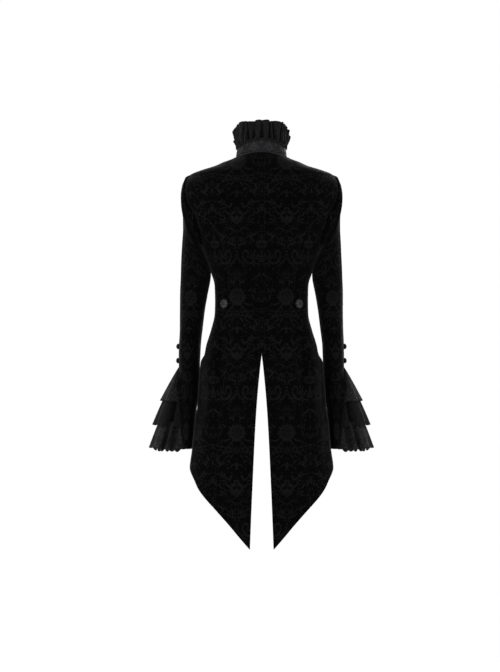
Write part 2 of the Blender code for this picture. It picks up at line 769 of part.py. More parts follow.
def frill_point(angle, share):
    base = collar_base(angle) + Vector((0, 0, band_height(angle) + 2 * SEAM + BINDING_HEIGHT))
    back = max(math.cos(math.radians(angle)), 0.0)
    rise = blend(FRILL_HEIGHT_SIDE, FRILL_HEIGHT_BACK, back)
    turn = math.radians(angle)
    phase = FRILL_PLEATS * turn + 0.7 * math.sin(3 * turn) + 0.45 * math.sin(7 * turn + 1)
    wave = math.cos(phase) + 0.22 * math.cos(2 * phase + 0.6)
    depth = FRILL_PLEAT_DEPTH * (0.18 + 0.82 * share ** 0.8)
    ruche = 0.9 * share * math.cos(0.5 * FRILL_PLEATS * turn + 0.4)
    outward = FRILL_FLARE * share ** 0.8 + depth * wave * 0.8 + 1.2
    return base + Vector((0, 0, rise * share + ruche)) - inward(angle) * (outward - COLLAR_LEAN)


def add_frill(material):
    end = 180 - COLLAR_OPENING
    angles = [blend(-end, end, share) for share in column_shares(FRILL_PLEATS * FRILL_COLUMNS_EACH + 1)]
    outer = [[frill_point(angle, share) for angle in angles] for share in reversed(FRILL_ROWS)]
    normals = grid_normals(outer)
    inner = [[p - n * RUFFLE for p, n in zip(*pair)] for pair in zip(outer, normals)]
    add_wall("collar_frill", outer, inner, material)


def belt_point(across, up, lift):
    """Point on the half belt, from -1 to 1 along it and across it."""
    distance = across * BELT_HALF_LENGTH
    from_end = BELT_HALF_LENGTH - abs(distance)
    rounding = min(from_end / BELT_ROUND_END, 1.0)
    half = BELT_HALF_HEIGHT * (0.45 + 0.55 * math.sqrt(1 - (1 - rounding) ** 2))
    middle = BELT_MIDDLE + BELT_END_RISE * across ** 2
    height = middle + half * up
    sign = math.copysign(1.0, distance)
    point = torso(angle_across(abs(distance), height), height, lift)
    point.x *= sign
    return point


def add_belt(material):
    outer, inner = [], []
    steps = [2 * s - 1 for s in column_shares(BELT_COLUMNS)]
    across_steps = [math.sin(math.pi / 2 * s) * 0.5 + s * 0.5 for s in steps]
    for row in range(BELT_ROWS + 1):
        up = 1 - 2 * row / BELT_ROWS
        outer.append([belt_point(across, up, BELT_LIFT + BELT) for across in across_steps])
        inner.append([belt_point(across, up, BELT_LIFT) for across in across_steps])
    add_wall("half_belt", outer, inner, material)


def add_button(name, place, centre, normal, material, mirror=False):
    """A domed button, turned about its axis, its back at the centre point."""
    radius, thickness = place.diameter / 2, place.thickness
    profile = ((0.85, 0.0), (1.0, 0.3), (0.86, 0.68), (0.5, 0.92))
    up = Vector((0, 0, 1))
    side = up.cross(normal).normalized()
    upright = normal.cross(side)
    sign = -1 if mirror else 1
    body = bmesh.new()

    def add_point(out, along, turn):
        p = centre + normal * along + (side * math.cos(turn) + upright * math.sin(turn)) * out
        return body.verts.new((sign * p.x * MM, p.y * MM, p.z * MM))

    rings = []
    for out, along in profile:
        turns = [2 * math.pi * k / place.sides for k in range(place.sides)]
        rings.append([add_point(out * radius, along * thickness, turn) for turn in turns])
    crown = add_point(0, thickness, 0)
    for low, high in zip(rings, rings[1:]):
        for k in range(place.sides):
            after = (k + 1) % place.sides
            body.faces.new((low[k], low[after], high[after], high[k]))
    for k in range(place.sides):
        body.faces.new((rings[-1][k], rings[-1][(k + 1) % place.sides], crown))
    body.faces.new(list(reversed(rings[0])))
    bmesh.ops.recalc_face_normals(body, faces=body.faces)
    mesh = bpy.data.meshes.new(name)
    body.to_mesh(mesh)
    body.free()
    mesh.shade_smooth()
    mesh.set_sharp_from_angle(angle=math.radians(40))
    mesh.materials.append(material)
    bpy.context.scene.collection.objects.link(bpy.data.objects.new(name, mesh))


def front_seat(height, lift):
    """Point above the centre front, on the straight run between the wall's nearest rows."""
    rows = [armhole_height(turn) for turn in ARMHOLE_STEPS] + list(BODY_ROWS)
    above = min(row for row in rows if row >= height)
    below = max(row for row in rows if row < height)
    share = (above - height) / (above - below)
    return torso(180, above, lift).lerp(torso(180, below, lift), share)


def add_buttons(material):
    angle = angle_across(WAIST_BUTTON.across, WAIST_BUTTON.height)
    normal = torso_normal(angle, WAIST_BUTTON.height)
    seat = torso(angle, WAIST_BUTTON.height, BELT_LIFT + BELT + BUTTON_LIFT)
    for side, mirror in (("left", False), ("right", True)):
        add_button(f"{WAIST_BUTTON.name}_{side}", WAIST_BUTTON, seat, normal, material, mirror)
        for place in SLEEVE_BUTTONS:
            out = sleeve_normal(place.height, SLEEVE_BUTTON_ANGLE)
            at = sleeve_column(place.height, SLEEVE_BUTTON_ANGLE) + out * BUTTON_LIFT
            add_button(f"{place.name}_{side}", place, at, out, material, mirror)
    for number in range(FRONT_BUTTON_COUNT):
        height = FRONT_BUTTON_TOP - number * FRONT_BUTTON_STEP
        out = torso_normal(180, height)
        at = front_seat(height, LAP_LIFT + BUTTON_LIFT)
        add_button(f"{FRONT_BUTTON.name}_{number + 1}", FRONT_BUTTON, at, out, material)


def main():
    clear_scene()
    velvet = make_material("damask velvet", VELVET_COLOUR, 0.85, 0.0)
    satin = make_material("ruffle satin", SATIN_COLOUR, 0.55, 0.0)
    jacquard = make_material("jacquard", JACQUARD_COLOUR, 0.45, 0.0)
    silver = make_material("antique silver", SILVER_COLOUR, 0.35, 1.0)
    add_centre_back(velvet)
    add_side_back(velvet)
    add_front("front_left", False, velvet, mirror=False)
    add_front("front_right", True, velvet, mirror=True)
    add_sleeves(velvet)
    add_flounces((jacquard, satin, jacquard))
    add_collar(jacquard, satin)
    add_frill(satin)
    add_belt(velvet)
    add_buttons(silver)


main()
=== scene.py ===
"""Looks of the gothic velvet tailcoat: velvet shells, damask, ruffles, sewing and buttons.

It is laid out as a Blender add-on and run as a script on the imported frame. Tables and helpers
use millimetres and degrees, and a mesh is turned to metres when it is made. The fronts face
-Y, the wearer's left is +X, and the origin is on the centre line at the height of the neck.
"""
import math
from collections import namedtuple

import bpy
import numpy as np
from mathutils import Matrix, Vector


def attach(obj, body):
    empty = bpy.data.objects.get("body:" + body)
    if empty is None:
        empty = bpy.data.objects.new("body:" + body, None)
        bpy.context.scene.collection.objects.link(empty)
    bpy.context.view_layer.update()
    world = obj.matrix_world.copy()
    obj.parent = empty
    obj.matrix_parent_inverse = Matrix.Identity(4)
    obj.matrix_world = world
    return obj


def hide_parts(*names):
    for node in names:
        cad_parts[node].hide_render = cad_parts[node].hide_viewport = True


bl_info = {
    "name": "Gothic velvet tailcoat",
    "version": (1, 0, 0),
    "blender": (4, 5, 0),
    "location": "View3D > Sidebar > Coat",
    "description": "Builds the cloth, trims and studio of a gothic velvet tailcoat on its frame",
    "category": "Object",
}

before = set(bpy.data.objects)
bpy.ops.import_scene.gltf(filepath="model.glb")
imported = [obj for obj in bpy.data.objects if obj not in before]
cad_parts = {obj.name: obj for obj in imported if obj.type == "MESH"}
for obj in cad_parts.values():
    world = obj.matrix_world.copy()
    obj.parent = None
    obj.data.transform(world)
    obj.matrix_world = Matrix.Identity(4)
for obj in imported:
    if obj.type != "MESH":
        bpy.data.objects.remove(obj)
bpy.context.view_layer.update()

MM = 0.001
BODY = "root"

# Nearly the same sections, seams and edges as the frame's solids, so that each shell lies on
# its own, with some rows fitted closer. First the thickness of each solid, the gap at a seam
# and how the right front laps over the left.
SEAM = 0.3
VELVET = 1.8
RUFFLE = 1.2
BAND = 2.4
BELT = 2.6
OVERLAP = 14.0
LAP_RISE = (12.0, 3.0)
LAP_LIFT = VELVET + 0.6

Section = namedtuple("Section", "height half_width side back front squareness")
TORSO = (
    Section(6, 66, -5, 64, -12, 2.0),
    Section(-5, 97.5, -5, 73, -24, 2.1),
    Section(-15.6, 121, -5, 79, -36, 2.1),
    Section(-26, 155, -5, 84, -46, 2.2),
    Section(-38, 184, -5, 89, -55, 2.2),
    Section(-57, 200, -4, 95, -65, 2.5),
    Section(-78, 205, -3, 100, -79, 2.8),
    Section(-104, 203, -2, 104, -95, 2.9),
    Section(-131, 192, -1, 105, -108, 2.7),
    Section(-160, 178, 0, 103, -119, 2.5),
    Section(-187, 167, 0, 100, -125, 2.3),
    Section(-225, 154, 0, 94, -123, 2.2),
    Section(-286, 134, -2, 82, -107, 2.2),
    Section(-328, 121.5, -4, 75, -96, 2.3),
    Section(-365, 120.5, -4, 72, -92, 2.3),
    Section(-400, 121.5, -3, 75, -92, 2.3),
    Section(-442, 131, 0, 84, -97, 2.2),
    Section(-484, 143.5, 4, 93, -102, 2.2),
    Section(-505, 147.5, 6, 96.5, -104, 2.2),
    Section(-525, 157.5, 8, 100, -106, 2.2),
    Section(-600, 163, 12, 107, -108, 2.2),
    Section(-640, 164.4, 14, 110, -107.5, 2.2),
    Section(-670, 171, 15, 113, -107, 2.2),
    Section(-749, 179.5, 20, 118, -104, 2.2),
    Section(-806, 186.5, 24, 122, -100, 2.2),
    Section(-1011, 172, 26, 129, -90, 2.2),
)

NECK_HALF_WIDTH = 66.0
NECK_MIDDLE = -5.0
NECK_BACK = 67.0
NECK_SIDE_HEIGHT = 6.0
NECK_RISE_BACK = 10.0
NECK_DROP_FRONT = 61.9
NECK_TURNS_FRONT = (94, 108, 122, 136, 150, 165, 180)

ARMHOLE_TOP = -38.0
ARMHOLE_BOTTOM = -225.0
ARMHOLE_BACK = 52.0
ARMHOLE_FRONT = 50.0
ARMHOLE_GAP = 0.6
UNDERARM_TURN = (100.0, 130.0)

Seam = namedtuple("Seam", "height distance")
PRINCESS = (
    Seam(-160, 139), Seam(-187, 117), Seam(-207, 107), Seam(-225, 101), Seam(-255, 95),
    Seam(-286, 90), Seam(-345, 84.5), Seam(-400, 81), Seam(-455, 81), Seam(-507, 88),
    Seam(-600, 102), Seam(-700, 111), Seam(-800, 119), Seam(-920, 127),
)
PRINCESS_TIP = 1.5
VENT_TOP = -507.0
VENT = (
    Seam(-507, 0.15), Seam(-530, 3.0), Seam(-619, 11.5), Seam(-702, 17), Seam(-806, 22),
    Seam(-920, 27), Seam(-1011, 30.5),
)

Edge = namedtuple("Edge", "angle height")
HEM = (
    Edge(8.8, -1001), Edge(16.9, -972), Edge(25.7, -941), Edge(36.3, -909), Edge(43.7, -890),
    Edge(52.3, -870), Edge(60.7, -850), Edge(67.8, -831), Edge(78.7, -812), Edge(90, -798),
    Edge(101, -766), Edge(115, -702), Edge(130, -628), Edge(145, -556), Edge(160, -494),
    Edge(172, -456), Edge(180, -444), Edge(190, -440),
)
LOWEST = -1020.0
WAIST = -400.0

Fold = namedtuple("Fold", "top_angle top bottom_angle bottom width depth")
FOLDS = (
    Fold(47, -420, 37, -640, 6.0, -5.0),
    Fold(56, -440, 50, -700, 7.0, 3.5),
    Fold(74, -500, 70, -840, 7.0, -3.0),
    Fold(22, -600, 20, -960, 6.0, 2.0),
    Fold(112, -470, 104, -760, 8.0, 3.5),
    Fold(128, -450, 120, -640, 7.0, -3.0),
)

Ring = namedtuple("Ring", "height outer inner_height inner middle half_depth bulge")
SLEEVE = (
    Ring(-46, 198, -233, 156.5, 0, 53, 15),
    Ring(-68, 206, -241, 153.5, 0, 55.5, 15),
    Ring(-100, 207, -250, 150, 0, 55.5, 13),
    Ring(-140, 204.5, -260, 146, -1, 53.5, 10),
    Ring(-178, 204, -272, 141, -2, 51.5, 7),
    Ring(-220, 206.5, -287, 136.5, -3, 50, 4),
    Ring(-262, 208.5, -305, 132, -4, 49.5, 2),
    Ring(-300, 210, -325, 135, -6, 49, 0),
    Ring(-342, 211.5, -352, 140.5, -9, 48, 0),
    Ring(-388, 212, -390, 147, -13, 47, 0),
    Ring(-436, 212.5, -436, 153, -18, 46, 0),
    Ring(-485, 215, -485, 158.5, -24, 45, 0),
    Ring(-530, 215.5, -530, 160.5, -28, 44, 0),
    Ring(-545, 214.5, -545, 160.8, -29, 43.5, 0),
    Ring(-575, 212, -575, 161.5, -31, 43, 0),
    Ring(-615, 211, -615, 163.5, -33, 42.5, 0),
    Ring(-640, 210.6, -640, 168.2, -34, 42, 0),
    Ring(-655, 210.5, -655, 170, -35, 42, 0),
    Ring(-705, 210, -705, 173.5, -37, 42, 0),
    Ring(-751, 209.5, -751, 176.5, -38, 42, 0),
)
# The slit is a half turn in degrees, and its edges flare over the ruffles by so much.
SleeveSeam = namedtuple("SleeveSeam", "height hind fore slit flare")
SLEEVE_SEAMS = (
    SleeveSeam(-38, 54, 252, 0, 0), SleeveSeam(-46, 48, 257, 0, 0),
    SleeveSeam(-140, 40, 243, 0, 0), SleeveSeam(-262, 22, 234, 0, 0),
    SleeveSeam(-388, 9, 228, 0, 0), SleeveSeam(-530, 2, 224, 0, 0),
    SleeveSeam(-545, 1, 223, 8, 1.5), SleeveSeam(-575, 0, 222, 16, 9),
    SleeveSeam(-592, 0, 221.5, 19.5, 12), SleeveSeam(-615, 0, 221, 23, 9.5),
    SleeveSeam(-655, 0, 220, 28, 6), SleeveSeam(-705, 0, 219, 33, 3.5),
    SleeveSeam(-751, 0, 218, 36, 0.5),
)
SLIT_FLARE_REACH = 15.0
# Under the armhole the sleeve eases out to the body, and its head is puffed.
UNDERARM_EASE = 5.5
CAP_PUFF = 1.8
# The sleeve's mean radius turns its angles to the cloth's own millimetres.
SLEEVE_RADIUS = 46.0

# A pinch is a deep fold of the cloth, as a share of the way round from the outermost line.
# The sag is how much lower the hem hangs beside the sleeve than at that line.
Flounce = namedtuple("Flounce", "top bottom top_reach bottom_reach sag waves depth pinches")
FLOUNCES = (
    Flounce(-539, -625, 215.5, 260, 7, 3, 4.0, (-0.8, -0.42)),
    Flounce(-614, -688, 252, 281, 9, 4, 3.5, (-0.86, -0.6, -0.3, 0.74)),
    Flounce(-681, -748, 268, 290, 5, 6, 3.5, (-0.9, -0.7, -0.5, -0.24, 0.6, 0.8)),
)
PINCH_WIDTH = 0.05
PINCH_DEPTH = 26.0
PINCH_HANG = 9.0
PINCH_SLANT = 0.08
FLOUNCE_TUCK = 0.14
FAN_END = 1 - FLOUNCE_TUCK
TUCK_TURN = 22.0
TUCK_CLEARANCE = 0.5
EXIT_TURN = 2.6
EXIT_CLEARANCE = 1.1
FLOUNCE_NEST = 1.7
NEST_TURN = 2.4
FLOUNCE_SPREAD = 0.34
FLOUNCE_LEAN = 75.0
FLOUNCE_COLUMNS = 221
FLOUNCE_ROWS = 27

COLLAR_OPENING = 1.5
COLLAR_CLEARANCE = 0.5
COLLAR_HEIGHT = 19.0
COLLAR_HEIGHT_BACK = 12.0
COLLAR_LEAN = 2.5
# The band's slanted seams on both sides of the nape, as angles at its top and its foot.
BAND_SEAM = (36.0, 47.0)
BAND_MM_PER_DEGREE = 1.15
BINDING_HEIGHT = 5.0
BINDING_PROUD = 1.0
# From the nape round to the throat the frill first gets higher, then low, and leans out.
Frill = namedtuple("Frill", "angle rise flare")
FRILL = (
    Frill(0, 43, 0), Frill(25, 46, 0), Frill(45, 50.5, 0), Frill(62, 54.5, 0),
    Frill(82, 58.5, -1), Frill(91, 57, -0.5), Frill(99, 48, 6), Frill(107, 42, 12),
    Frill(119, 32, 15), Frill(132, 24, 14), Frill(150, 22, 12), Frill(180, 25, 8),
)
FRILL_WEDGE = 9.5
FRILL_SWELL = 4.0
FRILL_ROWS = 33
# Angles from the nape at which the frill's cloth is pinched in between two soft folds.
FRILL_PINCHES = (-20, 0, 20, 32, 50, 66, 82, 97, 111, 125, 138, 150, 160, 170, 181)

BELT_HALF_LENGTH = 116.0
BELT_MIDDLE = -374.5
BELT_END_RISE = 9.0
BELT_HALF_HEIGHT = 25.5
BELT_ROUND_END = 16.0
BELT_LIFT = 0.85
BELT_COLUMNS = 81
BELT_ROWS = 19

ButtonPlace = namedtuple("ButtonPlace", "name across height diameter thickness")
WAIST_BUTTON = ButtonPlace("waist_button", 93.0, -374.6, 27.0, 7.0)
SLEEVE_BUTTONS = (
    ButtonPlace("sleeve_button_upper", 0, -485, 14.5, 10.0),
    ButtonPlace("sleeve_button_lower", 0, -522, 14.5, 10.0),
)
SLEEVE_BUTTON_ANGLE = -9.0
SLEEVE_BUTTON_LIFT = -1.2
BUTTON_LIFT = 0.7
FRONT_BUTTON_COUNT = 5
FRONT_BUTTON_TOP = -105.0
FRONT_BUTTON_STEP = 64.0
FRONT_BUTTON = ButtonPlace("front_button", 0, 0, 18.0, 5.0)
# Behind its face a button goes in to its shank, as shares of its radius and thickness.
BUTTON_BACK_OUT = (1.0, 0.9, 0.35, 0.33, 0.0)
BUTTON_BACK_RISE = (0.3, 0.16, 0.14, -0.12, -0.12)
BUTTON_RELIEF = 0.13
BUTTON_SPOKES = 96

# Thickness of the drawn shells.
SHELL = 1.6
RUFFLE_SHELL = 0.9 * RUFFLE
BAND_SHELL = 0.85 * BAND
BINDING_SHELL = 2.2
BELT_SHELL = 2.0
# The sleeve's allowance goes in so deep under the armhole's edge, and reaches so far.
ALLOWANCE_DEPTH = SHELL + 0.6
ALLOWANCE = 3.2

# How the cloth shells are cut into squares, in millimetres along the cloth, and in degrees
# round an armhole or a sleeve. The first columns beside a seam stand close, to hold its dip
# and the groove of its topstitching. The plain numbers count the other columns, and rows.
ROW_STEP = 6.0
ARMHOLE_STEP = 6.0
SLEEVE_ROW_STEP = 5.5
HEM_ROW = 1.5
SEAM_COLUMNS = (0.0, 0.9, 2.0, 3.6, 6.0, 7.2, 8.4, 11.0)
LAP_COLUMNS = (0.0, 0.9, 2.0, 4.0, 8.0, 14.0, 20.0, 26.0, 29.0, 32.0, 35.0, 38.0, 42.0)
SLEEVE_SEAM_TURNS = (0.0, 1.2, 2.8, 5.0, 7.5, 9.0, 10.5)
SHOULDER_HEIGHTS = (-5, -8, -11.5, -15.6, -19, -22.5, -26, -30, -34)
CENTRE_BACK_COLUMNS = 26
SIDE_BACK_COLUMNS = 18
FRONT_COLUMNS = 22
UNDER_SLEEVE_COLUMNS = 34
UPPER_SLEEVE_COLUMNS = 30
YOKE_ROWS = 6
CAP_ROWS = 5
BACK_SKIRT_ROWS = 76
FRONT_SKIRT_ROWS = 84
ROWS_A_NECK_TURN = 6
# The armhole's degrees that go with one turn of the neckline.
NECK_TO_ARMHOLE = 18

# Creases of the torso's cloth as soft troughs or ridges, from one angle and height to
# another. An angle less than 0 is on the wearer's right. Width and depth are millimetres.
Crease = namedtuple("Crease", "angle height end_angle end_height bend width depth")
CREASES = (
    # drag lines from the blade of the shoulder to the armhole
    Crease(38, -118, 63, -168, 5, 6, -1.5), Crease(-34, -112, -61, -158, -4, 7, -1.3),
    Crease(30, -150, 52, -206, 4, 7, 1.1), Crease(-32, -160, -54, -216, -5, 6, 1.3),
    Crease(20, -70, 44, -92, 3, 6, -0.9), Crease(-17, -66, -40, -84, -2, 7, -1.1),
    # small of the back, above the half belt
    Crease(16, -300, 52, -318, 6, 6, -1.4), Crease(-12, -306, -49, -322, 5, 6, -1.2),
    Crease(30, -268, 66, -292, 6, 7, -1.1), Crease(-34, -276, -70, -298, 5, 6, -1.4),
    Crease(60, -330, 88, -318, 5, 6, -1.6), Crease(-58, -326, -90, -316, 4, 6, -1.3),
    # darts and tucks that curve in under the ends of the half belt, and their pleats
    Crease(68, -402, 45, -441, 3, 3, -2.2), Crease(-68, -402, -45, -441, -3, 3, -2.2),
    Crease(46, -440, 34, -458, 2, 3, -2.0), Crease(-46, -440, -34, -458, -2, 3, -2.0),
    Crease(47, -472, 39, -604, 3, 4, -3.2), Crease(-47, -474, -38, -598, -3, 4, -3.0),
    Crease(52, -480, 45, -610, 4, 5, 1.8), Crease(-52, -478, -44, -606, -4, 5, 1.7),
    Crease(56, -416, 46, -462, -5, 6, -2.6), Crease(-55, -414, -45, -458, 5, 6, -2.4),
    Crease(46, -458, 33, -482, -6, 6, -2.0), Crease(-45, -456, -34, -484, 6, 6, -2.2),
    Crease(33, -476, 38, -528, 4, 7, 1.5), Crease(-34, -480, -37, -536, -3, 7, 1.3),
    Crease(66, -418, 58, -520, 5, 9, 1.8), Crease(-67, -424, -57, -512, -6, 9, 1.6),
    Crease(18, -412, 14, -498, 3, 8, -1.1), Crease(-16, -416, -13, -506, -4, 8, -1.2),
    # long soft folds of the tails
    Crease(28, -560, 26, -860, 6, 14, -2.0), Crease(-30, -590, -25, -900, -7, 13, -1.8),
    Crease(12, -640, 15, -930, -4, 11, 1.3), Crease(-11, -600, -14, -900, 5, 12, 1.5),
    Crease(62, -560, 60, -800, 7, 12, -2.2), Crease(-60, -600, -62, -820, -6, 12, -2.0),
    Crease(84, -520, 82, -760, 6, 13, 2.0), Crease(-86, -500, -83, -740, -5, 14, 2.2),
    # fronts
    Crease(122, -150, 106, -206, 6, 8, -1.5), Crease(-125, -156, -108, -212, -5, 8, -1.3),
    Crease(112, -300, 142, -326, -6, 7, -1.4), Crease(-110, -306, -139, -322, -5, 7, -1.5),
    Crease(104, -344, 132, -356, 5, 6, -1.2), Crease(-102, -340, -134, -360, 6, 6, -1.3),
    Crease(118, -420, 128, -520, 6, 10, 1.6), Crease(-121, -430, -126, -540, -5, 10, 1.5),
    Crease(100, -460, 104, -660, -6, 12, -1.9), Crease(-103, -470, -101, -640, 6, 12, -1.8),
)

# Creases of the sleeves, by the turn round the sleeve from its outer side.
SLEEVE_CREASES_LEFT = (
    Crease(96, -118, 142, -176, 4, 6, -1.5), Crease(60, -96, 30, -168, 5, 8, -1.2),
    Crease(150, -330, 92, -356, 5, 6, -1.8), Crease(160, -356, 84, -392, 6, 6, -1.9),
    Crease(150, -398, 104, -420, 4, 6, -1.5), Crease(70, -316, 30, -372, 4, 8, 1.2),
    Crease(120, -440, 84, -520, 5, 9, -1.2), Crease(44, -430, 40, -540, -4, 9, 1.0),
    Crease(100, -560, 82, -690, 4, 9, -1.3), Crease(150, -260, 112, -296, 4, 7, -1.3),
    Crease(-40, -120, -70, -196, 4, 8, -1.3), Crease(-100, -330, -150, -366, 5, 7, -1.7),
    Crease(-92, -372, -156, -392, 4, 6, -1.6), Crease(-70, -470, -80, -600, 5, 10, -1.2),
    Crease(-30, -260, -36, -350, 4, 9, 1.1),
)
SLEEVE_CREASES_RIGHT = (
    Crease(90, -126, 138, -188, -4, 6, -1.4), Crease(56, -90, 34, -150, 4, 8, -1.1),
    Crease(154, -322, 96, -350, -4, 6, -1.7), Crease(150, -364, 80, -384, 5, 6, -2.0),
    Crease(156, -404, 110, -428, -4, 7, -1.3), Crease(66, -326, 34, -388, 5, 8, 1.3),
    Crease(116, -456, 90, -546, -5, 9, -1.1), Crease(40, -420, 46, -520, 4, 9, 1.0),
    Crease(104, -580, 80, -700, 5, 9, -1.4), Crease(146, -268, 108, -310, -4, 7, -1.2),
    Crease(-44, -128, -66, -184, 4, 8, -1.2), Crease(-98, -338, -152, -360, -5, 7, -1.6),
    Crease(-90, -380, -150, -402, 4, 6, -1.7), Crease(-74, -460, -84, -580, -5, 10, -1.1),
    Crease(-34, -270, -30, -360, -4, 9, 1.0),
)
TORSO_MM_PER_DEGREE = 2.3
SLEEVE_MM_PER_DEGREE = 0.8

# The damask's motifs, drawn in millimetres: across from the motif's own axis and
# down from the top of the repeat. Each is mirrored about the axis, and about the one
# half-way to the next. A leaf's turn is the direction it points, and a scroll opens there.
Leaf = namedtuple("Leaf", "across down half_length width turn")
Scroll = namedtuple("Scroll", "across down radius thickness turn")
Rose = namedtuple("Rose", "across down radius petals")
DAMASK_LEAVES = (
    # heart-shaped basket with sprays below it
    Leaf(10, 55, 16, 8, 125), Leaf(0, 58, 14, 9, 90), Leaf(38, 57, 9, 3.6, 155),
    Leaf(41, 64, 7.5, 3, 10), Leaf(32, 50, 7, 3, 120), Leaf(9, 84, 7, 3.2, 120),
    Leaf(15, 80, 6, 2.8, 150), Leaf(3, 87, 6, 2.6, 95),
    # its crown
    Leaf(9, 38, 9, 3, 150), Leaf(36, 28, 12, 2.4, 10),
    Leaf(38, 9, 8, 3, 110), Leaf(44, 13, 8, 3, 155), Leaf(33, 14, 7, 2.8, 70),
    Leaf(27, 21, 9, 4, 145), Leaf(43, 42, 8, 3.4, 120), Leaf(15, 21, 9, 3.8, 60),
    # two plumes that part like a V
    Leaf(8, 120, 13, 2.2, 120), Leaf(22, 104, 12, 2.4, 145), Leaf(36, 97, 9, 2.6, 170),
    Leaf(18, 117, 11, 5, 150), Leaf(38, 105, 10, 4.8, 50), Leaf(11, 106, 8, 3.4, 105),
    # trefoils, and leaves that hang under the diamond
    Leaf(52, 169, 11, 2.6, 5), Leaf(45, 147, 9.5, 4, 90), Leaf(38, 152, 7.5, 3.2, 40),
    Leaf(51, 152, 7, 3.2, 140), Leaf(15, 169, 10, 3.8, 60),
    # chevrons between two arms
    Leaf(5, 198, 7, 2.0, 35), Leaf(5, 205, 7, 2.0, 35), Leaf(5, 212, 7, 2.0, 35),
    Leaf(18, 197, 7.5, 2.6, 135), Leaf(12, 217, 9, 4, 140),
    # sprays round the great rose
    Leaf(42, 252, 9, 3.4, 60), Leaf(34, 236, 9, 3.6, 140), Leaf(14, 279, 10, 4, 50),
    Leaf(27, 273, 10, 4, 20),
    # bouquet
    Leaf(36, 290, 9, 3.8, 160), Leaf(34, 304, 9, 3.8, 20), Leaf(12, 312, 9, 4, 60),
    Leaf(24, 314, 8, 3.4, 30), Leaf(46, 298, 7, 3, 0),
    # scrolling leaves and an oval that close the repeat
    Leaf(22, 327, 8, 3.2, 150), Leaf(0, 337, 10.5, 6.6, 90),
    Leaf(12, 337, 7, 2.8, 45), Leaf(46, 338, 8, 3.4, 30),
    # small sprigs on the axis between two motifs
    Leaf(64, 28, 10, 8, 90), Leaf(64, 80, 10, 2.4, 90),
    Leaf(64, 101, 9, 3, 90), Leaf(55, 113, 7, 3, 145), Leaf(55, 125, 7, 3, 20),
    Leaf(64, 146, 10, 4.4, 90), Leaf(58, 150, 8, 3.2, 40), Leaf(53, 201, 12.5, 5.2, 146),
    Leaf(64, 209, 9, 2.6, 90), Leaf(64, 240, 8, 3, 90),
    Leaf(64, 291, 9, 3.4, 90), Leaf(64, 331, 8, 3.4, 90),
)
DAMASK_SCROLLS = (
    Scroll(17, 33, 12, 3.8, 270), Scroll(52, 35, 6.5, 3.4, 200), Scroll(44, 92, 5.5, 3, 250),
    Scroll(24, 143, 8, 3.8, 135), Scroll(33, 151, 19, 3.8, 300), Scroll(44, 243, 6.5, 3, 90),
    Scroll(40, 323, 13, 3.8, 200),
)
DAMASK_ROSES = (
    Rose(0, 31, 6.5, 5), Rose(27, 66, 5, 5), Rose(18, 75, 5, 5), Rose(64, 120, 11, 10),
    Rose(0, 151, 6.5, 4), Rose(64, 161, 5.5, 5), Rose(0, 189, 5, 5), Rose(0, 253, 23, 12),
    Rose(22, 297, 8.5, 5), Rose(0, 299, 9, 6), Rose(64, 262, 6.5, 5), Rose(64, 313, 6.5, 5),
)
DAMASK_START = 103.0
# Where a leaf is 1 wide and its ends are 1 from its middle, the centre of each of its two
# arcs is 0.75 off its axis and their radius is 1.25.
LEAF_ARC_CENTRE = 0.75
LEAF_ARC_RADIUS = 1.25
# The round cut out of a scroll is smaller by a share of its thickness. A rose's edge is
# scalloped by a share of its radius, and gaps part its petals at shares of that edge.
SCROLL_CUT = 0.35
SCALLOP = 0.22
PETAL_RINGS = (0.56, 0.24)
PETAL_GAP = 1.0
# How far the notches move an edge, and how far inside each edge its vein runs.
NOTCH_REACH = 6.0
VEIN_INSIDE = 2.1

# The light satin's own small figure: a round medallion with leaves, mirrored like the damask.
JACQUARD_LEAVES = (
    Leaf(0, 8, 6, 2.6, 90), Leaf(6, 12, 6, 2.4, 45), Leaf(11, 20, 5.5, 2.4, 0),
    Leaf(0, 34, 7, 2.8, 90), Leaf(7, 33, 6, 2.4, 130), Leaf(17, 38, 6, 2.6, 60),
    Leaf(19, 6, 5.5, 2.4, 110),
)
JACQUARD_ROSES = (Rose(0, 20, 7.5, 5), Rose(17, 28, 4, 5))
JACQUARD_WIDTH = 40.0
JACQUARD_HEIGHT = 44.0

# Sewing. A real thread is 0.3 mm thick and would not show, so it is drawn a little stouter.
TOPSTITCH_FROM_SEAM = 7.2
EDGE_STITCH = 2.6
# How far the cloth stands off or dips beside a seam or a turned edge, at a distance from it.
Ridge = namedtuple("Ridge", "distance width lift")
SEAM_DIP = Ridge(0.0, 1.7, -1.15)
SEAM_SWELL = Ridge(4.6, 2.4, 0.38)
STITCH_GROOVE = Ridge(TOPSTITCH_FROM_SEAM, 0.8, -0.4)
EDGE_ROLL = Ridge(0.0, 1.8, -0.9)
BELT_STITCH = 5.0
# A stitch is a few rings: place along it, share of its thickness, and height over the cloth.
STITCH_SIDES = 5
STITCH_RINGS = ((-0.5, 0.35, -0.15), (-0.3, 1.0, 0.25), (0.3, 1.0, 0.25), (0.5, 0.35, -0.15))
# A rolled hem is a tube in small steps, with a ridge where each of its stitches pulls.
ROLL_SIDES = 6
ROLL_STEP = 0.9
ROLL_RIDGE = 1.8

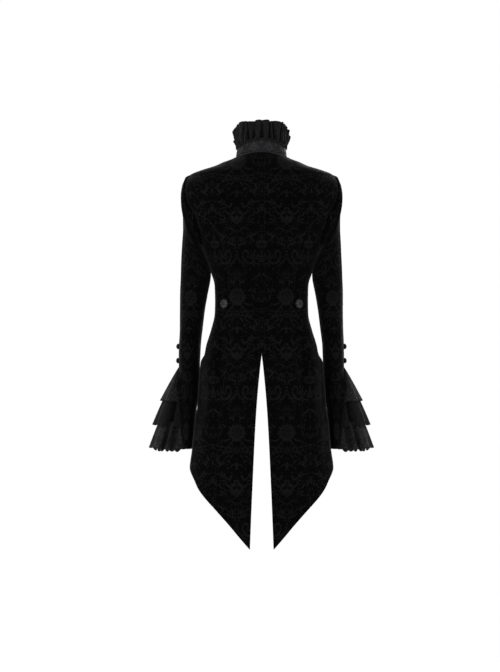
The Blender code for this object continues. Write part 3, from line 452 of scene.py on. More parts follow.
# The studio, in metres, but for the sensor's millimetres. The camera stands level behind the
# coat, and the photo's picture is 1.747 m high there. The floor is where a wearer 1.68 m tall
# would stand.
CAMERA_DISTANCE = 6.0
CAMERA_ACROSS = 0.0299
CAMERA_HEIGHT = -0.4576
PICTURE_HEIGHT = 1.7472
SENSOR_HEIGHT = 36.0
FLOOR_HEIGHT = -1.43
FLOOR_RADIUS = 1.1
FLOOR_SPOKES = 96
Light = namedtuple("Light", "name place size power")
LIGHTS = (
    Light("key_light", (2.2, 3.6, 1.6), 2.0, 60),
    Light("side_light_left", (2.8, 2.0, -0.5), 2.4, 40),
    Light("side_light_right", (-2.8, 2.0, -0.5), 2.4, 40),
    Light("front_light", (-1.6, -3.6, 1.2), 2.0, 50),
)


def hex_colour(text):
    """Linear colour from an sRGB hex value."""
    channels = [int(text[i:i + 2], 16) / 255 for i in (1, 3, 5)]
    return tuple(c / 12.92 if c <= 0.04045 else ((c + 0.055) / 1.055) ** 2.4 for c in channels)


def length_property(name, description, millimetres):
    """A length that a user can change, given in millimetres."""
    return bpy.props.FloatProperty(
        name=name, description=description, default=millimetres * MM, min=0.0,
        unit="LENGTH", subtype="DISTANCE", precision=4)


def colour_property(name, description, text):
    """A colour that a user can change, given as an sRGB hex value."""
    return bpy.props.FloatVectorProperty(
        name=name, description=description, default=hex_colour(text), size=3,
        subtype="COLOR", min=0.0, max=1.0)


class COAT_PG_sizes(bpy.types.PropertyGroup):
    """Sizes that a user would change."""
    shell: length_property("Velvet", "Thickness of the velvet shells", SHELL)
    repeat_width: length_property("Damask width", "Width of the damask's repeat", 128.0)
    repeat_height: length_property("Damask height", "Height of the damask's repeat", 348.0)
    stitch: length_property("Stitch", "Length of one topstitch", 3.4)
    stitch_gap: length_property("Stitch gap", "Gap between two topstitches", 1.2)
    thread: length_property("Thread", "Thickness of the drawn thread", 0.7)
    hem_roll: length_property("Hem roll", "Thickness of the rolled hem of a ruffle", 1.7)


class COAT_PG_colours(bpy.types.PropertyGroup):
    """Colours that a user would change."""
    velvet_ground: colour_property("Velvet ground", "Ground of the damask", "#020202")
    velvet_figure: colour_property("Velvet figure", "Raised figure of the damask", "#0e0e0e")
    velvet_reverse: colour_property("Velvet reverse", "Woven back of the velvet", "#0b0b0c")
    satin: colour_property("Satin", "Gathered satin of the frill and middle flounce", "#101011")
    jacquard: colour_property("Jacquard", "Ground of the light figured satin", "#161617")
    jacquard_figure: colour_property("Jacquard figure", "Figure of the light satin", "#262628")
    silver: colour_property("Silver", "Worn high places of the buttons", "#38383a")
    silver_recess: colour_property("Silver recess", "Blackened low places", "#0d0d0e")
    thread: colour_property("Thread", "Topstitching thread", "#0b0b0c")
    floor: colour_property("Floor", "Studio floor", "#f4f4f3")


def blend(a, b, t):
    """The value a share of the way from one to another."""
    return a + (b - a) * t


def smooth_step(low, high, value):
    """From 0 at low to 1 at high, soft at both ends."""
    t = np.clip((value - low) / (high - low), 0.0, 1.0)
    return t * t * (3 - 2 * t)


def signed_power(value, power):
    """A power of the size that keeps the sign."""
    return np.sign(value) * np.abs(value) ** power


def unit(vectors):
    """The same directions, each 1 long."""
    return vectors / np.maximum(np.linalg.norm(vectors, axis=-1, keepdims=True), 1e-9)


def run_along(line):
    """How far along a line each of its points is."""
    steps = np.linalg.norm(np.diff(line, axis=0), axis=1)
    return np.concatenate(([0.0], np.cumsum(steps)))


def values_at(places, run, values):
    """Points or directions at places along a line, in between its own."""
    return np.stack([np.interp(places, run, column) for column in values.T], axis=-1)


def all_round(count):
    """Angles that stand evenly all round, in radians."""
    return np.linspace(0, 2 * np.pi, count + 1)[:-1]


def with_rows_above(values, count):
    """A grid with its first row repeated above it."""
    return np.concatenate((np.repeat(values[:1], count, axis=0), values))


def side_name(side):
    """The name of a side, which is 1 on the wearer's left and -1 on the right."""
    return "left" if side > 0 else "right"


def read(table, column, at, by="height"):
    """Values of a table's column at places, on a curve with no overshoot, flat past its ends."""
    rows = sorted(table, key=lambda row: getattr(row, by))
    places = np.array([getattr(row, by) for row in rows], float)
    values = np.array([getattr(row, column) for row in rows], float)
    slopes = np.diff(values) / np.diff(places)
    before, after = slopes[:-1], slopes[1:]
    product = before * after
    inner = np.where(product > 0, 2 * product / np.where(product > 0, before + after, 1), 0)
    tangents = np.concatenate((slopes[:1], inner, slopes[-1:]))
    at = np.clip(at, places[0], places[-1])
    low = np.clip(np.searchsorted(places, at, side="right") - 1, 0, len(places) - 2)
    step = places[low + 1] - places[low]
    t = (at - places[low]) / step
    start, end = tangents[low] * step, tangents[low + 1] * step
    rise = values[low + 1] - values[low]
    curve = t * t * (3 * rise - 2 * start - end) + t ** 3 * (start + end - 2 * rise)
    return values[low] + t * start + curve


def torso_plain(angle, height):
    """Points of the torso with no folds, at angles from the centre back round by +X."""
    sine, cosine = np.sin(np.radians(angle)), np.cos(np.radians(angle))
    side = read(TORSO, "side", height)
    reach = np.where(cosine > 0, read(TORSO, "back", height), read(TORSO, "front", height))
    power = 2 / read(TORSO, "squareness", height)
    x = read(TORSO, "half_width", height) * signed_power(sine, power)
    y = side + (reach - side) * np.abs(cosine) ** power
    return np.stack(np.broadcast_arrays(x, y, height), axis=-1)


def torso_normal(angle, height):
    """Outward directions of the plain torso, from points just beside."""
    turn, drop = 1.0, 1.5
    across = torso_plain(angle + turn, height) - torso_plain(angle - turn, height)
    down = torso_plain(angle, height - drop) - torso_plain(angle, height + drop)
    return unit(np.cross(across, down))


def fold_depth(angle, height):
    """How far the skirt's folds stand out from the plain torso."""
    total = np.zeros(np.broadcast(angle, height).shape)
    for fold in FOLDS:
        run = np.clip((height - fold.top) / (fold.bottom - fold.top), 0, 1)
        middle = blend(fold.top_angle, fold.bottom_angle, run)
        swell = np.sin(np.pi * run) ** 0.7
        total += fold.depth * swell * np.exp(-((angle - middle) / fold.width) ** 2)
    return total


def torso(angle, height, lift=0.0):
    """Points on the cloth, with its folds, lifted off the surface by so much."""
    out = np.asarray(fold_depth(angle, height) + lift)
    return torso_plain(angle, height) + torso_normal(angle, height) * out[..., None]


def angle_across(distance, height, front=False):
    """Angles of the torso points at distances from the centre line."""
    squareness = read(TORSO, "squareness", height)
    ratio = np.minimum(np.abs(distance) / read(TORSO, "half_width", height), 1.0)
    angle = np.copysign(np.degrees(np.arcsin(ratio ** (squareness / 2))), distance)
    return 180 - angle if front else angle


def even_angle(angle, height, back=False):
    """Angle whose steps are even along the squared section, or back to the section's own."""
    power = 2 / read(TORSO, "squareness", height)
    power = 1 / power if back else power
    sine, cosine = np.sin(np.radians(angle)), np.cos(np.radians(angle))
    turned = np.arctan2(signed_power(sine, power), signed_power(cosine, power))
    return np.mod(np.degrees(turned), 360)


def neck_point(angle):
    """Points on the neckline at angles from the nape."""
    sine, cosine = np.sin(np.radians(angle)), np.cos(np.radians(angle))
    rise = NECK_RISE_BACK * np.maximum(cosine, 0) ** 1.5
    x, y = NECK_HALF_WIDTH * sine, NECK_MIDDLE + NECK_BACK * cosine
    back = np.stack((x, y, NECK_SIDE_HEIGHT + rise), axis=-1)
    height = NECK_SIDE_HEIGHT - NECK_DROP_FRONT * cosine ** 2
    front = torso_plain(angle_across(x, height, front=True), height)
    return np.where((cosine >= 0)[..., None], back, front)


def neck_place(turn):
    """Angle and height on the torso of the front neckline, turned from the nape."""
    height = NECK_SIDE_HEIGHT - NECK_DROP_FRONT * np.cos(np.radians(turn)) ** 2
    distance = NECK_HALF_WIDTH * np.sin(np.radians(turn))
    return angle_across(distance, height, front=True), height


def armhole_height(turn):
    """Height of the armhole's edge, turned from the shoulder point."""
    middle = (ARMHOLE_TOP + ARMHOLE_BOTTOM) / 2
    return middle + (ARMHOLE_TOP - middle) * np.cos(np.radians(turn))


def armhole_angle(turn):
    """Angle on the torso of the armhole's edge, turned from the shoulder point by the back."""
    height = armhole_height(turn)
    side = read(TORSO, "side", height)
    sine = np.sin(np.radians(turn))
    depth = np.where(sine >= 0, ARMHOLE_BACK, ARMHOLE_FRONT) * sine
    reach = np.where(sine >= 0, read(TORSO, "back", height), read(TORSO, "front", height))
    ratio = np.abs(depth / (reach - side)) ** (read(TORSO, "squareness", height) / 2)
    angle = np.degrees(np.arccos(ratio))
    return np.where(sine >= 0, angle, 180 - angle)


def armhole_back_angle(height):
    """Angle of the armhole's edge at a height, on its back half."""
    middle = armhole_height(90)
    turn = np.degrees(np.arccos(np.clip((height - middle) / (ARMHOLE_TOP - middle), -1, 1)))
    return np.minimum(armhole_angle(turn), 90.0)


def hem_height(angle):
    """Height of the hem at an angle from the centre back."""
    return read(HEM, "height", angle, by="angle")


def princess_angle(height):
    """The princess seam below the armhole, and its run out to the armhole's edge above."""
    below = angle_across(read(PRINCESS, "distance", height), height)
    tip_height, seam_top = armhole_height(90), PRINCESS[0].height
    share = np.clip((height - seam_top) / (tip_height - seam_top), 0, 1)
    tip = armhole_angle(90) - PRINCESS_TIP
    seam_angle = angle_across(PRINCESS[0].distance, seam_top)
    return np.where(height > seam_top, blend(seam_angle, tip, share), below)


def vent_angle(height):
    """The centre back seam, and the vent's edge below it."""
    distance = np.where(height > VENT_TOP, 0.0, read(VENT, "distance", height))
    return angle_across(distance, height)


def front_edge_angle(height):
    """Inner edge of a front below the neckline, a strip past the centre line."""
    neck_bottom = NECK_SIDE_HEIGHT - NECK_DROP_FRONT
    past = OVERLAP * smooth_step(neck_bottom, neck_bottom - 20, height)
    return angle_across(-past, height, front=True)


# A laid-out panel: for each row and column its angle and height on the torso, and how far
# along the cloth the point is from the row's start, its end and the lower edge.
Layout = namedtuple("Layout", "angle height from_start from_end from_hem")


def even_row(start, end, near_start, near_end, middle):
    """One row of a layout between two places, each an angle and a height."""
    shares = np.linspace(0, 1, 49)
    heights = blend(start[1], end[1], shares)
    evens = blend(even_angle(start[0], start[1]), even_angle(end[0], end[1]), shares)
    points = torso_plain(even_angle(evens, heights, back=True), heights)
    run = run_along(points)
    # The close columns of both ends are squeezed together where the row is short.
    squeeze = min(1.0, run[-1] / (2.5 * (near_start[-1] + near_end[-1])))
    first = np.array(near_start) * squeeze
    last = run[-1] - np.array(near_end)[::-1] * squeeze
    between = np.linspace(first[-1], last[0], middle + 2)[1:-1]
    places = np.concatenate((first, between, last))
    at = np.interp(places, run, shares)
    height = blend(start[1], end[1], at)
    angle = even_angle(blend(evens[0], evens[-1], at), height, back=True)
    return angle, height, places, run[-1] - places


def level_rows(heights, start_of, end_of, columns):
    """Rows of a layout at level heights, from functions of height for both of their ends."""
    return [even_row((start_of(h), h), (end_of(h), h), *columns) for h in heights]


def skirt_rows(top, start_of, end_of, columns, count):
    """Rows of a layout from a level top to the hem, each column cut to its own length."""
    heights = np.linspace(top, LOWEST, 110)
    level = zip(*level_rows(heights, start_of, end_of, columns))
    angle, _, from_start, from_end = map(np.array, level)
    above = heights[:, None] - hem_height(angle)
    rows = np.linspace(0, 1, count)
    # The last rows stand close, to hold the rolled edge of the hem.
    rows = np.concatenate((rows[:-1], (0.993, 0.9965, 1.0)))
    laid = []
    for column in range(angle.shape[1]):
        last = int(np.argmax(above[:, column] <= 0))
        share = above[last - 1, column] / (above[last - 1, column] - above[last, column])
        end = blend(heights[last - 1], heights[last], share)
        at = blend(top, end, rows)
        own = np.stack((angle[:, column], from_start[:, column], from_end[:, column]), axis=-1)
        turn, after, before = values_at(-at, -heights, own).T
        laid.append((turn, at, after, before, at - end))
    return [np.array(item).T for item in zip(*laid)]


def laid_out(rows, skirt):
    """A layout from level rows and the skirt's rows below them."""
    angle, height, from_start, from_end = map(np.array, zip(*rows))
    from_hem = height - skirt[1][0] + skirt[4][0]
    above = (angle, height, from_start, from_end, from_hem)
    return Layout(*(np.concatenate((upper, lower[1:])) for upper, lower in zip(above, skirt)))


def crease_lift(creases, across, height, mm_per_degree):
    """How far the listed creases move the cloth, given angles across and heights."""
    total = np.zeros(np.broadcast(across, height).shape)
    here = np.stack(np.broadcast_arrays(across * mm_per_degree, height), axis=-1)
    for crease in creases:
        start = np.array((crease.angle * mm_per_degree, crease.height))
        along = np.array((crease.end_angle * mm_per_degree, crease.end_height)) - start
        length = np.linalg.norm(along)
        along = along / length
        beside = np.array((-along[1], along[0]))
        run = np.clip(((here - start) @ along) / length, 0, 1)
        bow = np.sin(np.pi * run)
        aside = (here - start) @ beside - crease.bend * bow
        past = (here - start) @ along - run * length
        distance = np.hypot(aside, past)
        total += crease.depth * bow ** 0.7 * np.exp(-(distance / crease.width) ** 2)
    return total


def soft_unevenness(across, down):
    """Slow small waves that no worn cloth is without, in millimetres."""
    waves = np.sin(across / 31 + 1.3 * np.sin(down / 47)) * np.sin(down / 39 + 0.9)
    waves = waves + 0.6 * np.sin(across / 17 + down / 23 + 2.1) * np.sin(down / 29 - across / 53)
    return 0.34 * waves


def ridge_lift(ridge, distance):
    """Lift of the cloth by one ridge, or dip, at distances from its seam or edge."""
    return ridge.lift * np.exp(-((distance - ridge.distance) / ridge.width) ** 2)


def seam_form(distance, along, phase):
    """The dip at a seam, the swell beside it and the small puckers of its sewing."""
    dip = ridge_lift(SEAM_DIP, distance) + ridge_lift(SEAM_SWELL, distance)
    groove = ridge_lift(STITCH_GROOVE, distance)
    pucker = 0.2 * np.sin(along / 2.6 + phase) * np.sin(along / 9.1 + 2 * phase)
    return dip + groove + pucker * smooth_step(0, 2, distance) * np.exp(-(distance / 6) ** 2)


def torso_creases(angle, height, side):
    """Creases and unevenness of the torso's cloth, none where the fronts lap."""
    lift = crease_lift(CREASES, angle * side, height, TORSO_MM_PER_DEGREE)
    lift = lift + soft_unevenness(angle * side * TORSO_MM_PER_DEGREE, height)
    return lift * smooth_step(0, 16, np.abs(180 - angle))


def girth(angle, height, origin):
    """Length along the level section from an angle of origin."""
    shares = np.linspace(0, 1, 25)
    start = even_angle(np.full_like(angle, origin), height)[..., None]
    end = even_angle(angle, height)[..., None]
    levels = np.broadcast_to(height[..., None], (*height.shape, len(shares)))
    points = torso_plain(even_angle(blend(start, end, shares), levels, back=True), levels)
    return np.linalg.norm(np.diff(points, axis=-2), axis=-1).sum(axis=-1)


def grid_normals(points):
    """Directions across times down of a grid of points."""
    across = np.gradient(points, axis=1)
    down = np.gradient(points, axis=0)
    return unit(np.cross(across, down))


def make_mesh(name, points, faces, uv=None):
    """A smooth mesh from points in millimetres, with the cloth's own UV map in metres."""
    mesh = bpy.data.meshes.new(name)
    mesh.from_pydata((points * MM).tolist(), [], faces.tolist())
    mesh.shade_smooth()
    if uv is not None:
        layer = mesh.uv_layers.new(name="cloth")
        corners = np.empty(len(mesh.loops), dtype=np.int32)
        mesh.loops.foreach_get("vertex_index", corners)
        layer.uv.foreach_set("vector", (uv * MM)[corners].ravel())
    item = bpy.data.objects.new(name, mesh)
    bpy.context.scene.collection.objects.link(item)
    return item


def grid_faces(rows, columns, outward=True, closed=False):
    """Squares of a grid, facing across times down or the other way. A closed one is a tube."""
    first = np.arange(rows * columns).reshape(rows, columns)
    after = np.roll(first, -1, axis=1)
    if not closed:
        first, after = first[:, :-1], after[:, :-1]
    a, b, c, d = first[:-1], after[:-1], after[1:], first[1:]
    order = (a, b, c, d) if outward else (a, d, c, b)
    return np.stack(order, axis=-1).reshape(-1, 4)


def grid_lengths(points):
    """The longest row and column of a grid, and its area, in millimetres."""
    across = np.linalg.norm(np.diff(points, axis=1), axis=-1)
    down = np.linalg.norm(np.diff(points, axis=0), axis=-1)
    first = np.cross(points[1:, :-1] - points[:-1, :-1], points[:-1, 1:] - points[:-1, :-1])
    second = np.cross(points[1:, :-1] - points[1:, 1:], points[:-1, 1:] - points[1:, 1:])
    area = (np.linalg.norm(first, axis=-1) + np.linalg.norm(second, axis=-1)).sum() / 2
    return across.sum(axis=1).max(), down.sum(axis=0).max(), area


def add_cloth(name, points, uv, thickness, materials, outward=True, side=1):
    """A thin closed shell of cloth under a grid of points, which are its outer side.

    The points are the wearer's left, and are mirrored for the other side.
    """
    faces = grid_faces(*points.shape[:2], outward == (side > 0))
    item = make_mesh(name, (points * (side, 1, 1)).reshape(-1, 3), faces, uv.reshape(-1, 2))
    for material in materials:
        item.data.materials.append(material)
    wall = item.modifiers.new("cloth thickness", "SOLIDIFY")
    wall.thickness = thickness * MM
    wall.offset = -1.0
    wall.material_offset = len(materials) - 1
    return item


def declare(item, slot, *nodes):
    """The piece rides on the coat's body and stands for its solids."""
    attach(item, BODY)
    if nodes:
        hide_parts(*nodes)


def declare_sheet(points, sides=1):
    """Works out the cut of the cloth that shows, its longest rows and columns and its area, and keeps
    none of them.

    A strip that is folded over an edge is cut with two sides, the one that shows and its back.
    """
    width, length, area = grid_lengths(points)
    flat = (width * MM, length * sides * MM)
    area = min(max(area * MM * MM, 0.3 * flat[0] * flat[1]), flat[0] * flat[1])


def add_stitches(name, lines):
    """Topstitching along lines of points with their outward directions, as one mesh."""
    sizes = bpy.context.scene.coat_sizes
    stitch, gap, thick = sizes.stitch / MM, sizes.stitch_gap / MM, sizes.thread / MM / 2
    turns = all_round(STITCH_SIDES)
    rings = []
    for line, normals in lines:
        run = run_along(line)
        middles = np.arange(stitch, run[-1] - stitch / 2, stitch + gap)
        centre, out = values_at(middles, run, line), unit(values_at(middles, run, normals))
        along = unit(values_at(middles + 0.5, run, line) - values_at(middles - 0.5, run, line))
        beside = np.cross(along, out)
        for i in range(len(middles)):
            circle = np.outer(np.cos(turns), beside[i]) + np.outer(np.sin(turns), out[i])
            for place, size, rise in STITCH_RINGS:
                middle = centre[i] + along[i] * place * stitch + out[i] * rise
                rings.append(middle + circle * size * thick)
    tube = grid_faces(len(STITCH_RINGS), STITCH_SIDES, closed=True)
    starts = np.arange(0, len(rings), len(STITCH_RINGS)) * STITCH_SIDES
    faces = (tube + starts[:, None, None]).reshape(-1, 4)
    item = make_mesh(name, np.concatenate(rings), faces)
    item.data.materials.append(made(polyester_thread_twisted))
    declare(item, "ruffle_satin")


def line_on(points, distances, wanted, outward=1.0):
    """A line down a grid, at one distance along each of its rows, with its directions."""
    normals = grid_normals(points) * outward
    line = [values_at(wanted, run, row) for run, row in zip(distances, points)]
    directions = [values_at(wanted, run, row) for run, row in zip(distances, normals)]
    return np.array(line), unit(np.array(directions))


def on_side(line, side):
    """A line of the left side with its directions, on the side where it is wanted."""
    return tuple(part * (side, 1, 1) for part in line)


# Materials. Each function is named as its material is, for what the real one is and how its
# surface was made. A pattern's scale is in features a millimetre of cloth. The inputs 1 to 4
# of a range node are the span that it reads and the span that it gives. These are the kinds
# of node that most of them use.
MATH, VECTOR, RANGE = "ShaderNodeMath", "ShaderNodeVectorMath", "ShaderNodeMapRange"
NOISE, WAVE, BUMP = "ShaderNodeTexNoise", "ShaderNodeTexWave", "ShaderNodeBump"
VORONOI, MIX, PLACE = "ShaderNodeTexVoronoi", "ShaderNodeMix", "ShaderNodeTexCoord"


def feed(tree, item, inputs):
    """Gives inputs their values, or links them. A node stands for its first output."""
    for socket, value in inputs.items():
        if isinstance(value, bpy.types.Node):
            value = value.outputs[0]
        if isinstance(value, bpy.types.NodeSocket):
            tree.links.new(value, item.inputs[socket])
        else:
            item.inputs[socket].default_value = value


def add_node(tree, kind, inputs=None, **settings):
    """Adds a node with its settings, its values and its links."""
    item = tree.nodes.new(kind)
    for name, value in settings.items():
        setattr(item, name, value)
    feed(tree, item, inputs or {})
    return item


def made(draw):
    """The material that a function draws, made when it is first asked for."""
    name = draw.__name__
    if name not in bpy.data.materials:
        material = bpy.data.materials.new(name)
        material.use_nodes = True
        draw(material.node_tree, material.node_tree.nodes["Principled BSDF"])
    return bpy.data.materials[name]


def cloth_place(tree):
    """The cloth's own across and down, in millimetres."""
    uv = add_node(tree, "ShaderNodeUVMap", uv_map="cloth")
    return add_node(tree, VECTOR, {0: uv, 1: (1 / MM,) * 3}, operation="MULTIPLY")


def repeat_place(tree, cloth, width, height, start):
    """Place in the repeat: across from the motif's axis, mirrored, and down."""
    split = add_node(tree, "ShaderNodeSeparateXYZ", {0: cloth})
    swing = add_node(tree, MATH, {0: split, 1: width / 2}, operation="PINGPONG")
    across = add_node(tree, MATH, {0: width / 2, 1: swing}, operation="SUBTRACT")
    moved = add_node(tree, MATH, {0: split.outputs[1], 1: start}, operation="SUBTRACT")
    down = add_node(tree, MATH, {0: moved, 1: 0.0, 2: height}, operation="WRAP")
    return add_node(tree, "ShaderNodeCombineXYZ", {0: across, 1: down})


def draw_leaf(tree, place, leaf):
    """Distance to the edge of a pointed leaf: two arcs that meet at its ends."""
    turned = add_node(
        tree, "ShaderNodeMapping",
        {"Vector": place, "Location": (leaf.across, leaf.down, 0),
         "Rotation": (0, 0, math.radians(leaf.turn)),
         "Scale": (leaf.half_length, leaf.width, 1)}, vector_type="TEXTURE")
    folded = add_node(tree, VECTOR, {0: turned}, operation="ABSOLUTE")
    centre = (0, -LEAF_ARC_CENTRE, 0)
    far = add_node(tree, VECTOR, {0: folded, 1: centre}, operation="DISTANCE").outputs["Value"]
    radius = LEAF_ARC_RADIUS * leaf.width
    return add_node(tree, MATH, {0: far, 1: leaf.width, 2: -radius}, operation="MULTIPLY_ADD")


def draw_scroll(tree, place, scroll):
    """Distance to the edge of a crescent: a round with a smaller one cut out of it."""
    turn = math.radians(scroll.turn)
    centre = (scroll.across, scroll.down, 0)
    cut = (scroll.across + scroll.thickness * math.cos(turn),
           scroll.down + scroll.thickness * math.sin(turn), 0)
    outer = add_node(tree, VECTOR, {0: place, 1: centre}, operation="DISTANCE").outputs["Value"]
    inner = add_node(tree, VECTOR, {0: place, 1: cut}, operation="DISTANCE").outputs["Value"]
    cut_radius = scroll.radius - SCROLL_CUT * scroll.thickness
    outside = add_node(tree, MATH, {0: outer, 1: scroll.radius}, operation="SUBTRACT")
    inside = add_node(tree, MATH, {0: cut_radius, 1: inner}, operation="SUBTRACT")
    return add_node(tree, MATH, {0: outside, 1: inside}, operation="MAXIMUM")


def draw_rose(tree, place, rose):
    """Distance to the edge of a scalloped rose, with its inner rings of petals cut in."""
    moved = add_node(tree, VECTOR, {0: place, 1: (rose.across, rose.down, 0)}, operation="SUBTRACT")
    split = add_node(tree, "ShaderNodeSeparateXYZ", {0: moved})
    far = add_node(tree, VECTOR, {0: moved}, operation="LENGTH").outputs["Value"]
    turn = add_node(tree, MATH, {0: split.outputs[1], 1: split}, operation="ARCTAN2")
    lobes = add_node(tree, MATH, {0: turn, 1: rose.petals / 2}, operation="MULTIPLY")
    wave = add_node(tree, MATH, {0: lobes}, operation="COSINE")
    lobe = add_node(tree, MATH, {0: wave}, operation="ABSOLUTE")
    scallop, least = SCALLOP * rose.radius, (1 - SCALLOP) * rose.radius
    reach = add_node(tree, MATH, {0: lobe, 1: scallop, 2: least}, operation="MULTIPLY_ADD")
    edge = add_node(tree, MATH, {0: far, 1: reach}, operation="SUBTRACT")
    for share in PETAL_RINGS:
        ring = add_node(tree, MATH, {0: reach, 1: share}, operation="MULTIPLY")
        gap = add_node(tree, MATH, {0: far, 1: ring}, operation="SUBTRACT")
        width = add_node(tree, MATH, {0: gap}, operation="ABSOLUTE")
        cut = add_node(tree, MATH, {0: PETAL_GAP, 1: width}, operation="SUBTRACT")
        edge = add_node(tree, MATH, {0: edge, 1: cut}, operation="MAXIMUM")
    return edge


def draw_figure(tree, place, leaves, scrolls, roses):
    """Distance to the nearest edge of the whole figure, less than 0 inside it."""
    nearest = None
    # Each motif is joined to those before it. With a few more of them than the tables hold,
    # the renderer shows the cloth black.
    for draw, motifs in ((draw_leaf, leaves), (draw_scroll, scrolls), (draw_rose, roses)):
        for motif in motifs:
            edge = draw(tree, place, motif)
            if nearest is not None:
                edge = add_node(tree, MATH, {0: nearest, 1: edge}, operation="MINIMUM")
            nearest = edge
    return nearest


def silk_velvet_woven_damask(tree, shader):
    """Silk velvet, woven as damask: a cut pile that swallows light, its figure pressed brighter.

    The pile gives an almost black ground with no gloss, a figure one step lighter, and a thin
    pale edge where the pile is seen from its side.
    """
    sizes, colours = bpy.context.scene.coat_sizes, bpy.context.scene.coat_colours
    cloth = cloth_place(tree)
    place = repeat_place(tree, cloth, sizes.repeat_width / MM, sizes.repeat_height / MM, DAMASK_START)
    # The woven edges are notched like leaves, and fine lines part the figure into petals.
    notches = add_node(tree, NOISE, {"Vector": place, "Scale": 0.3, "Detail": 2.0})
    shift = add_node(tree, VECTOR, {0: notches.outputs["Color"], 1: (0.5,) * 3}, operation="SUBTRACT")
    reach = (NOTCH_REACH, NOTCH_REACH, 0.0)
    notched = add_node(tree, VECTOR, {0: shift, 1: reach, 2: place}, operation="MULTIPLY_ADD")
    edge = draw_figure(tree, notched, DAMASK_LEAVES, DAMASK_SCROLLS, DAMASK_ROSES)
    petals = add_node(tree, VORONOI, {"Vector": place, "Scale": 0.2}, feature="DISTANCE_TO_EDGE")
    lace = add_node(tree, RANGE, {0: petals, 1: 0.04, 2: 0.2, 3: 0.45, 4: 1.0})
    motifs = add_node(
        tree, RANGE, {0: edge, 1: 0.7, 2: -0.7, 3: 0.0, 4: 1.0}, interpolation_type="SMOOTHSTEP")
    # Small leaflets crowd round each motif, closer than single ones could be placed one by one.
    leaflets = add_node(tree, VORONOI, {"Vector": notched, "Scale": 0.15})
    leaflet = add_node(tree, RANGE, {0: leaflets, 1: 0.42, 2: 0.26, 3: 0.0, 4: 0.8})
    crowd = add_node(tree, RANGE, {0: edge, 1: 7.0, 2: 4.5, 3: 0.0, 4: 1.0})
    crowded = add_node(tree, MATH, {0: leaflet, 1: crowd}, operation="MULTIPLY")
    figure = add_node(tree, MATH, {0: motifs, 1: crowded}, operation="MAXIMUM")
    inward = add_node(tree, MATH, {0: edge, 1: VEIN_INSIDE}, operation="ADD")
    from_vein = add_node(tree, MATH, {0: inward}, operation="ABSOLUTE")
    vein = add_node(tree, RANGE, {0: from_vein, 1: 0.2, 2: 0.9, 3: 0.5, 4: 1.0})
    # The pile leans in patches a few millimetres wide, and broader ones a hand wide.
    patches = add_node(tree, NOISE, {"Vector": cloth, "Scale": 0.16, "Detail": 3.0})
    patch = add_node(tree, RANGE, {0: patches, 1: 0.3, 2: 0.7, 3: 0.62, 4: 1.3})
    broad = add_node(tree, NOISE, {"Vector": cloth, "Scale": 0.014, "Detail": 1.0})
    nap = add_node(tree, RANGE, {0: broad, 1: 0.3, 2: 0.7, 3: 0.8, 4: 1.25})
    veined = add_node(tree, MATH, {0: figure, 1: vein}, operation="MULTIPLY")
    laced = add_node(tree, MATH, {0: veined, 1: lace}, operation="MULTIPLY")
    shown = add_node(tree, MATH, {0: laced, 1: patch}, operation="MULTIPLY")
    ground, raised = (*colours.velvet_ground, 1), (*colours.velvet_figure, 1)
    colour = add_node(tree, MIX, {0: shown, 6: ground, 7: raised}, data_type="RGBA", clamp_factor=False)
    napped = add_node(tree, VECTOR, {0: colour.outputs[2], "Scale": nap}, operation="SCALE")
    roughness = add_node(tree, RANGE, {0: figure, 3: 0.95, 4: 0.6})
    # The pile's tufts are 0.2 mm apart and would not show, so they are drawn 1 mm apart.
    tufts = add_node(tree, NOISE, {"Vector": cloth, "Scale": 1.0, "Detail": 2.0})
    bump = add_node(tree, BUMP, {"Strength": 0.35, "Distance": 0.3 * MM, "Height": tufts})
    feed(tree, shader, {
        "Base Color": napped, "Roughness": roughness, "Normal": bump,
        "Specular IOR Level": 0.02, "Sheen Weight": 0.06, "Sheen Roughness": 0.35})


def cotton_ground_plain_woven(tree, shader):
    """Cotton back of the velvet, plain woven: dull, with a fine even grain of threads."""
    cloth = cloth_place(tree)
    # Threads are 0.4 mm apart and would not show, so they are drawn 1.6 mm apart.
    threads = {"Vector": cloth, "Scale": 0.195, "Distortion": 0.3}
    warp = add_node(tree, WAVE, threads, bands_direction="X")
    weft = add_node(tree, WAVE, threads, bands_direction="Y")
    weave = add_node(tree, MATH, {0: warp.outputs[1], 1: weft.outputs[1]}, operation="MAXIMUM")
    tone = add_node(tree, RANGE, {0: weave, 3: 0.6, 4: 1.25})
    base = tuple(bpy.context.scene.coat_colours.velvet_reverse)
    colour = add_node(tree, VECTOR, {0: base, "Scale": tone}, operation="SCALE")
    bump = add_node(tree, BUMP, {"Strength": 0.3, "Distance": 0.2 * MM, "Height": weave})
    feed(tree, shader, {
        "Base Color": colour, "Normal": bump, "Roughness": 0.85, "Specular IOR Level": 0.08})


def polyester_satin_gathered(tree, shader):
    """Polyester satin, crinkled by its gathers: a soft gloss broken into fine upright lines, with
    painted highlight on the crinkles' ridges and painted shade in their hollows.
    """
    cloth = cloth_place(tree)
    drawn = add_node(tree, "ShaderNodeMapping", {"Vector": cloth, "Scale": (0.42, 0.075, 1)})
    crinkle = add_node(tree, NOISE, {"Vector": drawn, "Scale": 1.0, "Detail": 4.0})
    # Painted highlight and shade: the same crinkles that raise the bump make the colour lighter on
    # their ridges and darker in their hollows.
    tone = add_node(tree, RANGE, {0: crinkle, 1: 0.3, 2: 0.7, 3: 0.35, 4: 1.65})
    base = tuple(bpy.context.scene.coat_colours.satin)
    colour = add_node(tree, VECTOR, {0: base, "Scale": tone}, operation="SCALE")
    rough = add_node(tree, RANGE, {0: crinkle, 1: 0.3, 2: 0.7, 3: 0.62, 4: 0.42})
    bump = add_node(tree, BUMP, {"Strength": 0.7, "Distance": 0.9 * MM, "Height": crinkle})
    feed(tree, shader, {
        "Base Color": colour, "Roughness": rough, "Normal": bump,
        "Specular IOR Level": 0.025, "Sheen Weight": 0.012})


